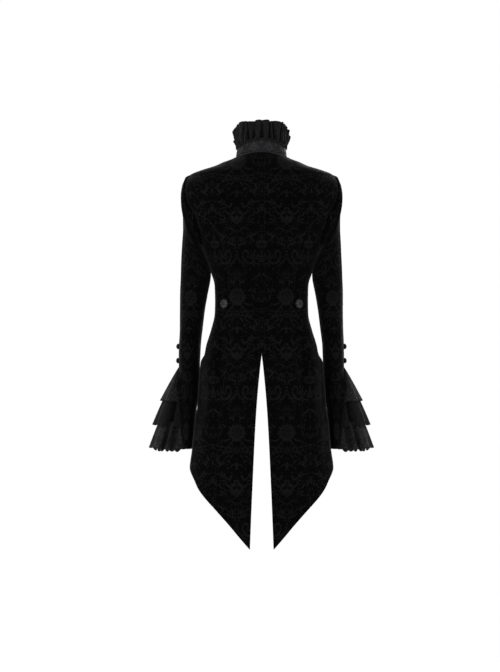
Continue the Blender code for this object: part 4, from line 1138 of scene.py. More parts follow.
def polyester_satin_woven_jacquard(tree, shader):
    """Satin jacquard, woven with a small figure: smooth, lighter, the figure one step up."""
    colours = bpy.context.scene.coat_colours
    cloth = cloth_place(tree)
    place = repeat_place(tree, cloth, JACQUARD_WIDTH, JACQUARD_HEIGHT, 0.0)
    edge = draw_figure(tree, place, JACQUARD_LEAVES, (), JACQUARD_ROSES)
    figure = add_node(
        tree, RANGE, {0: edge, 1: 0.5, 2: -0.5, 3: 0.0, 4: 1.0}, interpolation_type="SMOOTHSTEP")
    # Floats of the satin are 0.3 mm apart and would not show, so they are drawn 1.3 mm apart.
    floats = {"Vector": cloth, "Scale": 0.24, "Distortion": 1.2, "Detail": 2.0}
    twill = add_node(tree, WAVE, floats, bands_direction="DIAGONAL").outputs[1]
    tone = add_node(tree, RANGE, {0: twill, 3: 0.82, 4: 1.18})
    ground, raised = (*colours.jacquard, 1), (*colours.jacquard_figure, 1)
    colour = add_node(tree, MIX, {0: figure, 6: ground, 7: raised}, data_type="RGBA").outputs[2]
    woven = add_node(tree, VECTOR, {0: colour, "Scale": tone}, operation="SCALE")
    rough = add_node(tree, RANGE, {0: figure, 3: 0.52, 4: 0.36})
    bump = add_node(tree, BUMP, {"Strength": 0.3, "Distance": 0.25 * MM, "Height": twill})
    feed(tree, shader, {
        "Base Color": woven, "Roughness": rough, "Normal": bump,
        "Specular IOR Level": 0.03, "Sheen Weight": 0.015})


def zinc_cast_plated_antique_silver(tree, shader):
    """Die-cast zinc, silver plated and blackened: dark hollows, rubbed bright on its relief."""
    colours = bpy.context.scene.coat_colours
    relief = add_node(tree, "ShaderNodeAttribute", attribute_name="relief").outputs["Fac"]
    # Its grain is in grains a metre of the button itself.
    place = add_node(tree, PLACE).outputs["Object"]
    grains = add_node(tree, NOISE, {"Vector": place, "Scale": 700.0, "Detail": 3.0})
    worn = add_node(tree, MATH, {0: relief, 1: grains}, operation="ADD")
    bright = add_node(tree, RANGE, {0: worn, 1: 0.62, 2: 1.3})
    recess, rubbed = (*colours.silver_recess, 1), (*colours.silver, 1)
    colour = add_node(tree, MIX, {0: bright, 6: recess, 7: rubbed}, data_type="RGBA").outputs[2]
    rough = add_node(tree, RANGE, {0: bright, 3: 0.65, 4: 0.32})
    bump = add_node(tree, BUMP, {"Strength": 0.25, "Distance": 0.1 * MM, "Height": grains})
    feed(tree, shader, {"Base Color": colour, "Roughness": rough, "Normal": bump, "Metallic": 1.0})


def polyester_thread_twisted(tree, shader):
    """Polyester thread, twisted: a small soft gloss on a black a little lighter than velvet."""
    place = add_node(tree, PLACE).outputs["Object"]
    fibres = add_node(tree, NOISE, {"Vector": place, "Scale": 900.0, "Detail": 2.0})
    tone = add_node(tree, RANGE, {0: fibres, 3: 0.6, 4: 1.4})
    base = tuple(bpy.context.scene.coat_colours.thread)
    colour = add_node(tree, VECTOR, {0: base, "Scale": tone}, operation="SCALE")
    feed(tree, shader, {"Base Color": colour, "Roughness": 0.55, "Specular IOR Level": 0.08})


def paper_coated_matt(tree, shader):
    """Matt paper, coated white: even and pale, with a faint cloudiness."""
    place = add_node(tree, PLACE).outputs["Object"]
    cloud = add_node(tree, NOISE, {"Vector": place, "Scale": 3.0, "Detail": 3.0})
    tone = add_node(tree, RANGE, {0: cloud, 3: 0.98, 4: 1.02})
    base = tuple(bpy.context.scene.coat_colours.floor)
    colour = add_node(tree, VECTOR, {0: base, "Scale": tone}, operation="SCALE")
    feed(tree, shader, {"Base Color": colour, "Roughness": 0.9})


# The velvet's face, and its back that shows inside the coat.
VELVET_SIDES = (silk_velvet_woven_damask, cotton_ground_plain_woven)


# Velvet panels of the torso

def body_heights(bottom):
    """Heights of level rows from just below the armhole to a bottom."""
    return np.append(np.arange(ARMHOLE_BOTTOM - ROW_STEP, bottom, -ROW_STEP), bottom)


def armhole_rows(first_turn):
    """Heights of rows beside the armhole, even round its edge down to its lowest point."""
    return armhole_height(np.arange(first_turn, 181, ARMHOLE_STEP))


def centre_back_layout():
    """From the centre seam and the vent to the armhole and the princess seam."""
    def end(height):
        if height > ARMHOLE_TOP:
            return 90.0
        return armhole_back_angle(height) if height >= armhole_height(90) else princess_angle(height)

    columns = (SEAM_COLUMNS, SEAM_COLUMNS, CENTRE_BACK_COLUMNS)
    heights = np.concatenate((SHOULDER_HEIGHTS, armhole_rows(0), body_heights(VENT_TOP)))
    rows = level_rows(heights, vent_angle, end, columns)
    return laid_out(rows, skirt_rows(VENT_TOP, vent_angle, end, columns, BACK_SKIRT_ROWS))


def side_back_layout():
    """From the princess seam to the armhole and the side seam."""
    def end(height):
        return 90.0 if height < ARMHOLE_BOTTOM else armhole_back_angle(height)

    columns = (SEAM_COLUMNS, SEAM_COLUMNS, SIDE_BACK_COLUMNS)
    heights = np.concatenate((armhole_rows(90), body_heights(VENT_TOP)))
    rows = level_rows(heights, princess_angle, end, columns)
    return laid_out(rows, skirt_rows(VENT_TOP, princess_angle, end, columns, BACK_SKIRT_ROWS))


def front_layout():
    """From the shoulder, the armhole and the side seam to the neckline and the front edge."""
    def side(_):
        return 90.0

    columns = (SEAM_COLUMNS, LAP_COLUMNS, FRONT_COLUMNS)
    shoulder = [NECK_SIDE_HEIGHT, -5, -15.6, -26, ARMHOLE_TOP]
    rows = []
    # The first rows end on the neckline, a few to each of its turns. They start from the
    # shoulder, and the last of them from the top of the armhole.
    last, shoulder_last = len(NECK_TURNS_FRONT) - 1, len(shoulder) - 1
    last_turn = NECK_TO_ARMHOLE * (last - shoulder_last)
    for place in np.linspace(0, last, last * ROWS_A_NECK_TURN + 1):
        turn = NECK_TO_ARMHOLE * (place - shoulder_last)
        if turn < 0:
            start = 90.0, float(np.interp(place, range(len(shoulder)), shoulder))
        else:
            start = max(armhole_angle(-turn), 90.0), armhole_height(turn)
        neck = neck_place(np.interp(place, range(last + 1), NECK_TURNS_FRONT))
        rows.append(even_row(start, neck, *columns))
    for turn in np.arange(last_turn + ARMHOLE_STEP, 181, ARMHOLE_STEP):
        height = armhole_height(turn)
        start = max(armhole_angle(-turn), 90.0), height
        rows.append(even_row(start, (front_edge_angle(height), height), *columns))
    rows += level_rows(body_heights(WAIST), side, front_edge_angle, columns)
    return laid_out(rows, skirt_rows(WAIST, side, front_edge_angle, columns, FRONT_SKIRT_ROWS))


def lap_lift(angle, height):
    """How far the right front stands off where it lies over the left one."""
    low, high = [angle_across(OVERLAP + more, height, front=True) for more in LAP_RISE]
    return LAP_LIFT * smooth_step(low, high, angle)


def hem_form(from_hem):
    """How the cloth rolls in at a turned edge."""
    return ridge_lift(EDGE_ROLL, np.maximum(from_hem, 0))


def panel_points(layout, side, lapped=False, seams=(True, True)):
    """Outer points of a torso panel, modelled on the left, with one side's creases."""
    lift = torso_creases(layout.angle, layout.height, side)
    lift = lift + hem_form(layout.from_hem)
    for distance, sewn, phase in zip((layout.from_start, layout.from_end), seams, (0.4, 1.7)):
        if sewn:
            lift = lift + seam_form(distance, layout.height, phase * side)
        else:
            lift = lift + hem_form(distance)
    if lapped:
        lift = lift + lap_lift(layout.angle, layout.height)
    return torso(layout.angle, layout.height, lift)


def add_velvet(label, points, uv, side, outward=True):
    """A velvet panel of one side."""
    name = side_name(side)
    shell = bpy.context.scene.coat_sizes.shell / MM
    materials = [made(draw) for draw in VELVET_SIDES]
    item = add_cloth(f"velvet_{label}_{name}", points, uv, shell, materials, outward, side)
    declare(item, "damask_velvet", f"{label}_{name}")
    declare_sheet(points)


def add_centre_back(side, layout):
    """Centre back panel, from the neckline to the tail's tip."""
    points = panel_points(layout, side)
    share = layout.from_start[0] / (layout.from_start[0] + layout.from_end[0])
    neck = neck_point(90 * share)
    neck[0, 0] = 0.0
    rise = np.linspace(0, 1, YOKE_ROWS + 1)[:-1, None, None]
    sag = np.sin(np.pi * rise) * np.array((0, -1, -0.4))
    points = np.concatenate((blend(neck[None], points[:1], rise) + sag, points))
    across = with_rows_above(girth(layout.angle, layout.height, 0.0), YOKE_ROWS)
    drop = np.linalg.norm(points[YOKE_ROWS] - points[:YOKE_ROWS], axis=-1)
    down = np.concatenate((-layout.height[:1] - drop, -layout.height))
    add_velvet("centre_back", points, np.stack((across, down), axis=-1), side)
    return points


def add_panel(label, side, layout, origin, lapped=False, seams=(True, True)):
    """A side back or a front, with its flower axis measured from its own centre line."""
    points = panel_points(layout, side, lapped, seams)
    uv = np.stack((girth(layout.angle, layout.height, origin), -layout.height), axis=-1)
    add_velvet(label, points, uv, side)
    return points


# Sleeves

def sleeve_column(height, turn):
    """Points of the sleeve on the rings whose outer points are at heights."""
    height, turn = np.broadcast_arrays(np.asarray(height, float), np.asarray(turn, float))
    zero = np.zeros_like(height)
    inner_height = read(SLEEVE, "inner_height", height)
    outer = np.stack((read(SLEEVE, "outer", height), zero, height), axis=-1)
    inner = np.stack((read(SLEEVE, "inner", height), zero, inner_height), axis=-1)
    sine, cosine = np.sin(np.radians(turn)), np.cos(np.radians(turn))
    point = (outer + inner) / 2 + (outer - inner) / 2 * cosine[..., None]
    point[..., 0] += read(SLEEVE, "bulge", height) * sine ** 2 * (1 + 0.5 * cosine)
    point[..., 1] = read(SLEEVE, "middle", height) + read(SLEEVE, "half_depth", height) * sine
    return point


def sleeve_normal(height, turn):
    """Outward directions of the sleeve, from points just beside."""
    down = sleeve_column(height - 2, turn) - sleeve_column(height + 2, turn)
    across = sleeve_column(height, turn + 2) - sleeve_column(height, turn - 2)
    return unit(np.cross(down, across))


def from_outermost(turn):
    """The same turn, counted both ways from the sleeve's outermost line."""
    return np.mod(turn + 180, 360) - 180


def sleeve_head(turn):
    """First rows of a sleeve: the allowance turned in under the armhole's edge, and its fold."""
    turn = from_outermost(turn)
    height, angle = armhole_height(turn), armhole_angle(turn)
    edge, body_normal = torso(angle, height), torso_normal(angle, height)
    leaving = unit(sleeve_column(np.full_like(turn, SLEEVE[0].height), turn) - edge)
    hanging = smooth_step(*UNDERARM_TURN, np.abs(turn))[..., None]
    aside = np.array((1.0, 0, 0))
    aside = unit(aside - body_normal * (body_normal @ aside)[..., None])
    step = unit(blend(aside, body_normal, hanging))
    fold = edge + step * ARMHOLE_GAP + leaving * SEAM * hanging
    below = fold - body_normal * ALLOWANCE_DEPTH
    return np.stack((below - step * ALLOWANCE, below, fold))


def sleeve_cap(height, turn, first_row):
    """Rows over the sleeve's head, from its fold at the armhole down to its first full ring."""
    head = sleeve_head(turn)
    turned = from_outermost(turn)
    ease = np.linspace(0, 1, CAP_ROWS + 2)[1:-1, None, None]
    crown = (np.cos(np.radians(turned)) > -0.2) * CAP_PUFF
    gathers = 0.35 * np.sin(turned * 0.9) * crown
    puff = sleeve_normal(height, turn) * (crown + gathers)[:, None]
    return np.concatenate((head, blend(head[-1:], first_row, ease) + np.sin(np.pi * ease) * puff))


def under_range(height):
    """Turns from the hind seam and the slit round to the fore seam."""
    slit = read(SLEEVE_SEAMS, "slit", height)
    return read(SLEEVE_SEAMS, "hind", height) + slit, read(SLEEVE_SEAMS, "fore", height)


def upper_range(height):
    """Turns from the fore seam round to the slit and the hind seam."""
    slit = read(SLEEVE_SEAMS, "slit", height)
    return read(SLEEVE_SEAMS, "fore", height), read(SLEEVE_SEAMS, "hind", height) - slit + 360


def sleeve_lift(height, turn, from_start, from_end, from_slit, side):
    """How far creases, seams, the hem, the slit and the body move a sleeve's cloth."""
    creases = SLEEVE_CREASES_LEFT if side > 0 else SLEEVE_CREASES_RIGHT
    turned = from_outermost(turn)
    lift = crease_lift(creases, turned, height, SLEEVE_MM_PER_DEGREE)
    lift += soft_unevenness(turned * SLEEVE_MM_PER_DEGREE * side, height + 31 * side)
    lift += seam_form(from_start, height, side) + seam_form(from_end, height, 2 * side)
    lift += hem_form(height - SLEEVE[-1].height)
    lift += read(SLEEVE_SEAMS, "flare", height) * np.exp(-(from_slit / SLIT_FLARE_REACH) ** 2)
    # Under the armhole the sleeve's inner side lies against the body.
    inner = np.exp(-((np.abs(turned) - 180) / 50) ** 2)
    near_armhole = smooth_step(-308, -280, read(SLEEVE, "inner_height", height))
    return lift + UNDERARM_EASE * inner * near_armhole


def add_sleeve(label, turn_range, middle, side):
    """One of the two pieces of a sleeve, from the armhole to the wrist."""
    wrist = SLEEVE[-1].height
    heights = np.arange(SLEEVE[0].height, wrist, -SLEEVE_ROW_STEP)
    heights = np.append(heights, (wrist + HEM_ROW, wrist))
    start, end = (edge[:, None] for edge in turn_range(heights))
    near = np.array(SLEEVE_SEAM_TURNS)
    between = np.linspace(0, 1, middle + 2)[1:-1]
    inside = blend(start + near[-1], end - near[-1], between)
    turn = np.concatenate((start + near, inside, end - near[::-1]), axis=1)
    height = np.broadcast_to(heights[:, None], turn.shape)
    from_start = (turn - start) * SLEEVE_MM_PER_DEGREE
    from_end = (end - turn) * SLEEVE_MM_PER_DEGREE
    under = label == "under_sleeve"
    from_slit = from_start if under else from_end
    lift = sleeve_lift(height, turn, from_start, from_end, from_slit, side)
    points = sleeve_column(height, turn) + sleeve_normal(height, turn) * lift[..., None]
    cap = sleeve_cap(height[0], turn[0], points[:1])
    across = np.radians(1) * SLEEVE_RADIUS * (turn if under else turn - 360)
    gap = np.linalg.norm(cap - points[:1], axis=-1)
    down = np.concatenate((-heights[0] - gap, -height))
    uv = np.stack((with_rows_above(across, len(cap)), down), axis=-1)
    points = np.concatenate((cap, points))
    add_velvet(label, points, uv, side, outward=False)
    return points, with_rows_above(from_start, len(cap))


# Cuff flounces

def flounce_point(flounce, nest, share, across):
    """Points of a flounce, from its gathered edge down, and from -1 to 1 round the slit."""
    share, across = np.broadcast_arrays(share, across)
    height = blend(flounce.top, flounce.bottom, share)
    slit = read(SLEEVE_SEAMS, "slit", height)
    side = np.where(across < 0, -1.0, 1.0)
    # Its ends are tucked in behind the slit's edges, and the fan between them hangs out.
    tuck = np.maximum(np.abs(across) - FAN_END, 0.0) / FLOUNCE_TUCK
    fan_turn = slit - EXIT_TURN - nest * NEST_TURN
    turn = np.where(tuck > 0, blend(slit + EXIT_TURN, slit + TUCK_TURN, tuck), fan_turn)
    clearance = blend(EXIT_CLEARANCE, TUCK_CLEARANCE, smooth_step(0, 0.6, tuck)) + nest
    held = sleeve_column(height, side * turn)
    held = held - sleeve_normal(height, side * turn) * (VELVET + clearance)[..., None]
    reach = blend(flounce.top_reach, flounce.bottom_reach, share ** 0.9)
    middle = read(SLEEVE, "middle", height)
    fan_share = np.minimum(np.abs(across) / FAN_END, 1.0)
    arch = np.sin(np.pi * fan_share)
    half = np.abs(held[..., 1] - middle) * fan_share ** 0.45
    half = half + FLOUNCE_SPREAD * (reach - held[..., 0]) * arch ** 3 - nest * arch
    x = blend(held[..., 0], reach, np.cos(np.pi / 2 * fan_share))
    phase = np.pi * flounce.waves * across / FAN_END * (1 + 0.12 * across)
    inner = (1 - fan_share ** 2) ** 0.8
    out = flounce.depth * share ** 1.2 * inner * (0.5 + 0.5 * np.cos(phase))
    # Small gathers at the sewn edge, and a finer ripple that grows towards the hem.
    out = out + 0.5 * (1 - share) * inner * np.sin(5.3 * phase + 0.7)
    out = out + 1.3 * share ** 2 * inner * np.sin(2.6 * phase + 1.1 + 1.6 * share)
    sway = 1.6 * share ** 2 * inner * np.sin(1.7 * phase + 0.5)
    sway = sway - flounce.sag * share * (1 - np.cos(np.pi / 2 * fan_share))
    dip = np.zeros_like(out)
    for pinch in flounce.pinches:
        from_pinch = across / FAN_END - pinch - PINCH_SLANT * (0.5 - share) * side
        lined = np.exp(-np.abs(from_pinch / PINCH_WIDTH) ** 2.6)
        dip = dip + PINCH_DEPTH * (0.25 + 0.75 * share ** 0.7) * lined
        sway = sway - PINCH_HANG * share ** 3 * lined
    dip = np.minimum(dip, 0.85 * half) * smooth_step(1.0, 0.88, fan_share)
    lean = np.radians(FLOUNCE_LEAN * fan_share)
    turned_in = np.radians(90 * np.minimum(2.2 * fan_share, 1))
    x = x + out * np.cos(lean) - dip * np.cos(turned_in)
    y = middle + side * (half + out * np.sin(lean) - dip * np.sin(turned_in))
    fan = np.stack((x, y, height + sway), axis=-1)
    return np.where((tuck > 0)[..., None], held, fan)


def add_roll(name, line):
    """A rolled, overcast hem: a thin tube along a line, with a ridge for each stitch."""
    run = run_along(line)
    places = np.arange(0, run[-1], ROLL_STEP)
    centre = values_at(places, run, line)
    along = unit(np.gradient(centre, axis=0))
    beside = unit(np.cross(along, np.array((0, 0, 1.0))))
    above = np.cross(beside, along)
    turns = all_round(ROLL_SIDES)
    thickness = bpy.context.scene.coat_sizes.hem_roll / MM
    radius = thickness / 2 * (1 + 0.12 * np.sin(places * 2 * np.pi / ROLL_RIDGE))
    ring = np.cos(turns)[:, None] * beside[:, None] + np.sin(turns)[:, None] * above[:, None]
    points = centre[:, None] + ring * radius[:, None, None]
    uv = np.stack(np.broadcast_arrays(turns[None] * 2, places[:, None]), axis=-1)
    faces = grid_faces(len(places), ROLL_SIDES, closed=True)
    item = make_mesh(name, points.reshape(-1, 3), faces, uv.reshape(-1, 2))
    item.data.materials.append(made(polyester_satin_gathered))
    declare(item, "ruffle_satin")
    return item


def add_flounce(number, flounce, draw, slot, side):
    """One tier of a cuff's ruffles, with its rolled hem."""
    nest = (number - 1) * FLOUNCE_NEST
    fan = np.linspace(-FAN_END, FAN_END, FLOUNCE_COLUMNS)
    tuck = blend(FAN_END, 1, np.array((0.1, 0.4, 0.7, 1.0)))
    across = np.concatenate((-tuck[::-1], fan, tuck))
    share = np.linspace(0, 1, FLOUNCE_ROWS)
    points = flounce_point(flounce, nest, share[:, None], across[None, :])
    down = (share * (flounce.top - flounce.bottom))[:, None]
    uv = np.stack(np.broadcast_arrays(run_along(points[-1])[None, :], down), axis=-1)
    name = side_name(side)
    item = add_cloth(
        f"cuff_ruffle_{number}_{name}", points, uv, RUFFLE_SHELL, [made(draw)], False, side)
    declare(item, slot, f"cuff_flounce_{number}_{name}")
    hem = points[-1] + grid_normals(points)[-1] * RUFFLE / 2
    hem_item = add_roll(f"cuff_ruffle_hem_{number}_{name}", hem * (side, 1, 1))
    declare_sheet(points)


# Collar

def inward_of(point):
    """Level directions from points to the middle of the neck."""
    zero = np.zeros(point.shape[:-1])
    return unit(np.stack((-point[..., 0], NECK_MIDDLE - point[..., 1], zero), axis=-1))


def collar_base(angle):
    """Outer points where the collar band starts, just inside and above the neckline."""
    point = neck_point(np.abs(angle))
    point[..., 0] *= np.where(angle < 0, -1, 1)
    return point + inward_of(point) * COLLAR_CLEARANCE + np.array((0, 0, COLLAR_CLEARANCE))


def band_height(angle):
    """Height of the band, highest at the nape."""
    return COLLAR_HEIGHT + COLLAR_HEIGHT_BACK * np.maximum(np.cos(np.radians(angle)), 0) ** 1.5


def band_point(angle, share, proud=0.0, extra=0.0):
    """Points on the band's outside, from its foot at 0 to its top at 1."""
    angle, share, proud, extra = np.broadcast_arrays(angle, share, proud, extra)
    base = collar_base(angle)
    lift = band_height(angle) * share + extra
    point = base + inward_of(base) * (COLLAR_LEAN * share - proud)[..., None]
    point[..., 2] += lift
    return point


def ring_angles(step):
    """Angles from one end of the collar to the other, about a step apart."""
    end = 180 - COLLAR_OPENING
    return np.linspace(-end, end, int(2 * end / step) + 1)


def ring_uv(points):
    """The cloth's place of a grid round the neck: along its top row from the nape, and down."""
    run = run_along(points[0])
    run -= run[len(run) // 2]
    down = np.linalg.norm(points - points[:1], axis=-1)
    return np.stack(np.broadcast_arrays(run[None, :], down), axis=-1)


def add_collar_band():
    """The stand band of figured satin, with its slanted seams and topstitching."""
    angles = ring_angles(1.0)
    # The band goes on behind the binding, and below inside the neck edge that it is sewn to.
    top, foot = (1.05, 1.0, 0.97, 0.93), (0.07, 0.03, 0.0, -0.16)
    share = np.concatenate((top, np.linspace(0.87, 0.13, 12), foot))[:, None]
    edge = np.maximum(np.minimum(share, 1 - share), 0) * COLLAR_HEIGHT
    seam = blend(BAND_SEAM[1], BAND_SEAM[0], share)
    from_seam = (np.abs(angles)[None, :] - seam) * BAND_MM_PER_DEGREE
    swell = -0.7 * np.exp(-(edge / 1.4) ** 2) + 0.5 * np.sin(np.pi * share)
    swell = swell - 0.9 * np.exp(-(from_seam / 1.6) ** 2) + 0.5 * smooth_step(0, 5, from_seam)
    swell = swell + 0.3 * np.sin(np.radians(angles)[None, :] * 9 + 2 * share)
    points = band_point(angles[None, :], share, proud=swell)
    cloth = [made(polyester_satin_woven_jacquard)]
    item = add_cloth("collar_band_satin", points, ring_uv(points), BAND_SHELL, cloth)
    declare(item, "jacquard", "collar_band")
    declare_sheet(points)
    run = np.linspace(0.06, 0.94, 12)
    beside_seam = blend(BAND_SEAM[1], BAND_SEAM[0], run) + 3.2
    stitched = [band_point(side * beside_seam, run, proud=0.9) for side in (-1, 1)]
    stitched.append(band_point(angles, np.full_like(angles, 0.09), proud=0.35))
    add_stitches("collar_band_stitches", [(line, -inward_of(line)) for line in stitched])


def add_collar_binding():
    """The narrow binding folded over the top of the band."""
    angles = ring_angles(0.8)
    share = np.linspace(1, 0, 9)[:, None]
    puckers = 0.12 * np.sin(np.radians(angles)[None] * 60)
    proud = BINDING_PROUD + 0.9 * np.sin(np.pi * share) - 0.5 + puckers
    rise = (BINDING_HEIGHT + 1.6) * share - 0.5
    points = band_point(angles[None, :], 1.0, proud=proud, extra=rise)
    cloth = [made(polyester_satin_gathered)]
    item = add_cloth("collar_binding_satin", points, ring_uv(points), BINDING_SHELL, cloth)
    declare(item, "ruffle_satin", "collar_binding")
    declare_sheet(points, sides=2)


def frill_point(angle, share):
    """Points of the gathered frill that rises from the binding."""
    base = collar_base(angle)
    rise = read(FRILL, "rise", np.abs(angle), by="angle") * share
    flare = read(FRILL, "flare", np.abs(angle), by="angle")
    share = np.maximum(share, 0)
    # The two halves are near mirror images. Each pinch leans a little as it rises.
    leaning = np.abs(angle) + share * (5.0 * np.sin(np.radians(angle) * 9) + 1.5)
    number = np.interp(leaning, FRILL_PINCHES, np.arange(len(FRILL_PINCHES)))
    lobe = np.abs(np.sin(np.pi * number)) ** 0.8
    from_pinch = np.abs(number - np.round(number))
    uneven = 1 + 0.35 * np.sin(2.4 * np.round(number) + 0.6 * np.sign(angle))
    wedge = np.exp(-(from_pinch / blend(0.24, 0.07, share ** 0.7)) ** 2) * uneven
    wedge = wedge * blend(FRILL_WEDGE, 0.2 * FRILL_WEDGE, smooth_step(0.25, 1.0, share))
    # Fine gathers at the foot, and a crinkled, rippling edge.
    fine = 0.6 * (1 - 0.4 * share) * np.sin(18.5 * number + 3 * share)
    crinkle = 1.0 * share ** 2 * np.sin(10.3 * number + 1.3) + 0.6 * np.sin(9 * share + 5 * number)
    outward = flare * share + FRILL_SWELL * (lobe - 0.4) - wedge + 0.6 + fine + crinkle
    point = base - inward_of(base) * (outward - COLLAR_LEAN)[..., None]
    step = share * (1.7 * np.sin(2.1 * np.round(number - 0.5)) + 1.1 * np.sin(np.pi * number) ** 2)
    point[..., 2] += band_height(angle) + 2 * SEAM + BINDING_HEIGHT + rise + step
    return point


def add_frill():
    """The gathered frill on top of the collar, with its rolled hem."""
    angles = ring_angles(0.4)[None, :]
    share = np.append(np.linspace(1, 0, FRILL_ROWS), -0.07)[:, None]
    points = frill_point(*np.broadcast_arrays(angles, share))
    cloth = [made(polyester_satin_gathered)]
    item = add_cloth("collar_frill_satin", points, ring_uv(points), RUFFLE_SHELL, cloth)
    declare(item, "ruffle_satin", "collar_frill")
    hem = add_roll("collar_frill_hem", points[0] - grid_normals(points)[0] * RUFFLE / 2)
    declare_sheet(points)


# Half belt

def belt_point(across, up, lift):
    """Points on the half belt, from -1 to 1 along it and across it."""
    distance = across * BELT_HALF_LENGTH
    rounding = np.minimum((BELT_HALF_LENGTH - np.abs(distance)) / BELT_ROUND_END, 1.0)
    half = BELT_HALF_HEIGHT * (0.45 + 0.55 * np.sqrt(1 - (1 - rounding) ** 2))
    height = BELT_MIDDLE + BELT_END_RISE * across ** 2 + half * up
    angle = angle_across(np.abs(distance), height)
    side = np.where(distance < 0, -1.0, 1.0)
    lift = lift + crease_lift(CREASES, angle * side, height, TORSO_MM_PER_DEGREE)
    point = torso(angle, height, lift)
    point[..., 0] *= side
    return point


def line_on_belt(across, up):
    """A line on the belt with its outward directions."""
    across, up = np.broadcast_arrays(across, up)
    line = belt_point(across, up, BELT_LIFT + BELT + 0.2)
    above = belt_point(across, up, BELT_LIFT + BELT + 1.2)
    return line, unit(above - line)


def add_belt():
    """The half belt across the back waist, topstitched all round."""
    ends = 1 - np.array((0.0, 0.006, 0.014, 0.026, 0.045, 0.07, 0.1))
    across = np.concatenate((-ends, np.linspace(-0.87, 0.87, BELT_COLUMNS), ends[::-1]))
    edge = np.array((1.0, 0.965, 0.92, 0.86))
    up = np.concatenate((edge, np.linspace(0.78, -0.78, BELT_ROWS), -edge[::-1]))
    across, up = np.meshgrid(across, up)
    from_edge = np.minimum(BELT_HALF_HEIGHT * (1 - np.abs(up)), BELT_HALF_LENGTH * (1 - np.abs(across)))
    swell = -1.3 * np.exp(-(from_edge / 1.5) ** 2) + 0.7 * smooth_step(0, 14, from_edge)
    swell = swell - 0.35 * np.exp(-((from_edge - BELT_STITCH) / 1.0) ** 2)
    points = belt_point(across, up, BELT_LIFT + BELT + swell)
    x, height = points[..., 0], points[..., 2]
    around = girth(angle_across(np.abs(x), height), height, 0.0) * np.sign(x)
    uv = np.stack((around, -height), axis=-1)
    materials = [made(draw) for draw in VELVET_SIDES]
    item = add_cloth("velvet_half_belt", points, uv, BELT_SHELL, materials)
    declare(item, "damask_velvet", "half_belt")
    declare_sheet(points)
    inset_up, inset_along = 1 - BELT_STITCH / BELT_HALF_HEIGHT, 1 - BELT_STITCH / BELT_HALF_LENGTH
    run = np.linspace(-inset_along, inset_along, 120)
    climb = np.linspace(-inset_up, inset_up, 14)
    lines = [line_on_belt(run, level) for level in (inset_up, -inset_up)]
    lines += [line_on_belt(end, climb) for end in (-inset_along, inset_along)]
    add_stitches("half_belt_stitches", lines)


# Buttons

def button_relief(out, turn):
    """Height of the embossed flower on a button, from 0 to 1, by share of radius and turn."""
    petals = np.exp(-((out - 0.62) / 0.16) ** 2) * (0.2 + 0.8 * np.abs(np.cos(4 * turn)) ** 0.8)
    inner = 0.85 * np.exp(-((out - 0.33) / 0.1) ** 2) * (0.25 + 0.75 * np.abs(np.cos(3 * turn + 0.4)))
    beads = 0.8 * np.exp(-((out - 0.9) / 0.05) ** 2) * (0.45 + 0.55 * np.cos(26 * turn))
    boss = np.exp(-(out / 0.13) ** 2)
    return np.clip(petals + inner + beads + boss, 0, 1)


def add_button(name, place, centre, normal, node, side=1):
    """A domed cast button with a flower in relief, a beaded rim and a shank to the cloth."""
    radius, thickness = place.diameter / 2, place.thickness
    face = np.concatenate((np.linspace(0.02, 0.8, 22), np.linspace(0.82, 1.0, 8)))
    dome = thickness * (0.5 + 0.34 * (1 - face ** 2))
    out = np.concatenate((face, BUTTON_BACK_OUT))
    base = np.concatenate((dome, np.array(BUTTON_BACK_RISE) * thickness))
    turn = all_round(BUTTON_SPOKES)
    relief = button_relief(out[:, None], turn[None, :])
    relief[len(face):] = 0.0
    relief = relief * smooth_step(1.0, 0.96, out)[:, None]
    rise = base[:, None] + relief * BUTTON_RELIEF * thickness
    reach = out[:, None] * radius
    local = np.stack((reach * np.cos(turn), reach * np.sin(turn), rise), axis=-1)
    faces = grid_faces(len(out), BUTTON_SPOKES, outward=False, closed=True)
    item = make_mesh(name, local.reshape(-1, 3), faces)
    layer = item.data.attributes.new("relief", "FLOAT", "POINT")
    layer.data.foreach_set("value", relief.ravel().astype(np.float32))
    item.data.set_sharp_from_angle(angle=math.radians(55))
    item.data.materials.append(made(zinc_cast_plated_antique_silver))
    direction = Vector(normal * (side, 1, 1))
    beside = Vector((0, 0, 1)).cross(direction).normalized()
    turned = Matrix((beside, direction.cross(beside), direction)).transposed().to_4x4()
    item.matrix_world = Matrix.Translation(Vector(centre * (side, 1, 1)) * MM) @ turned
    declare(item, "antique_silver", node)


def add_buttons():
    """The buttons of the half belt, the sleeves and the fronts."""
    angle = angle_across(WAIST_BUTTON.across, WAIST_BUTTON.height)
    seat = torso(angle, WAIST_BUTTON.height, BELT_LIFT + BELT + BUTTON_LIFT)
    placed = [(WAIST_BUTTON, seat, torso_normal(angle, WAIST_BUTTON.height))]
    for place in SLEEVE_BUTTONS:
        out = sleeve_normal(place.height, SLEEVE_BUTTON_ANGLE)
        seat = sleeve_column(place.height, SLEEVE_BUTTON_ANGLE) + out * SLEEVE_BUTTON_LIFT
        placed.append((place, seat, out))
    for side in (1, -1):
        for place, seat, out in placed:
            node = f"{place.name}_{side_name(side)}"
            add_button(f"silver_{node}", place, seat, out, node, side)
    for number in range(1, FRONT_BUTTON_COUNT + 1):
        height = FRONT_BUTTON_TOP - (number - 1) * FRONT_BUTTON_STEP
        seat = torso(180.0, height, LAP_LIFT + BUTTON_LIFT)
        node = f"{FRONT_BUTTON.name}_{number}"
        add_button(f"silver_{node}", FRONT_BUTTON, seat, torso_normal(180.0, height), node)


# Studio

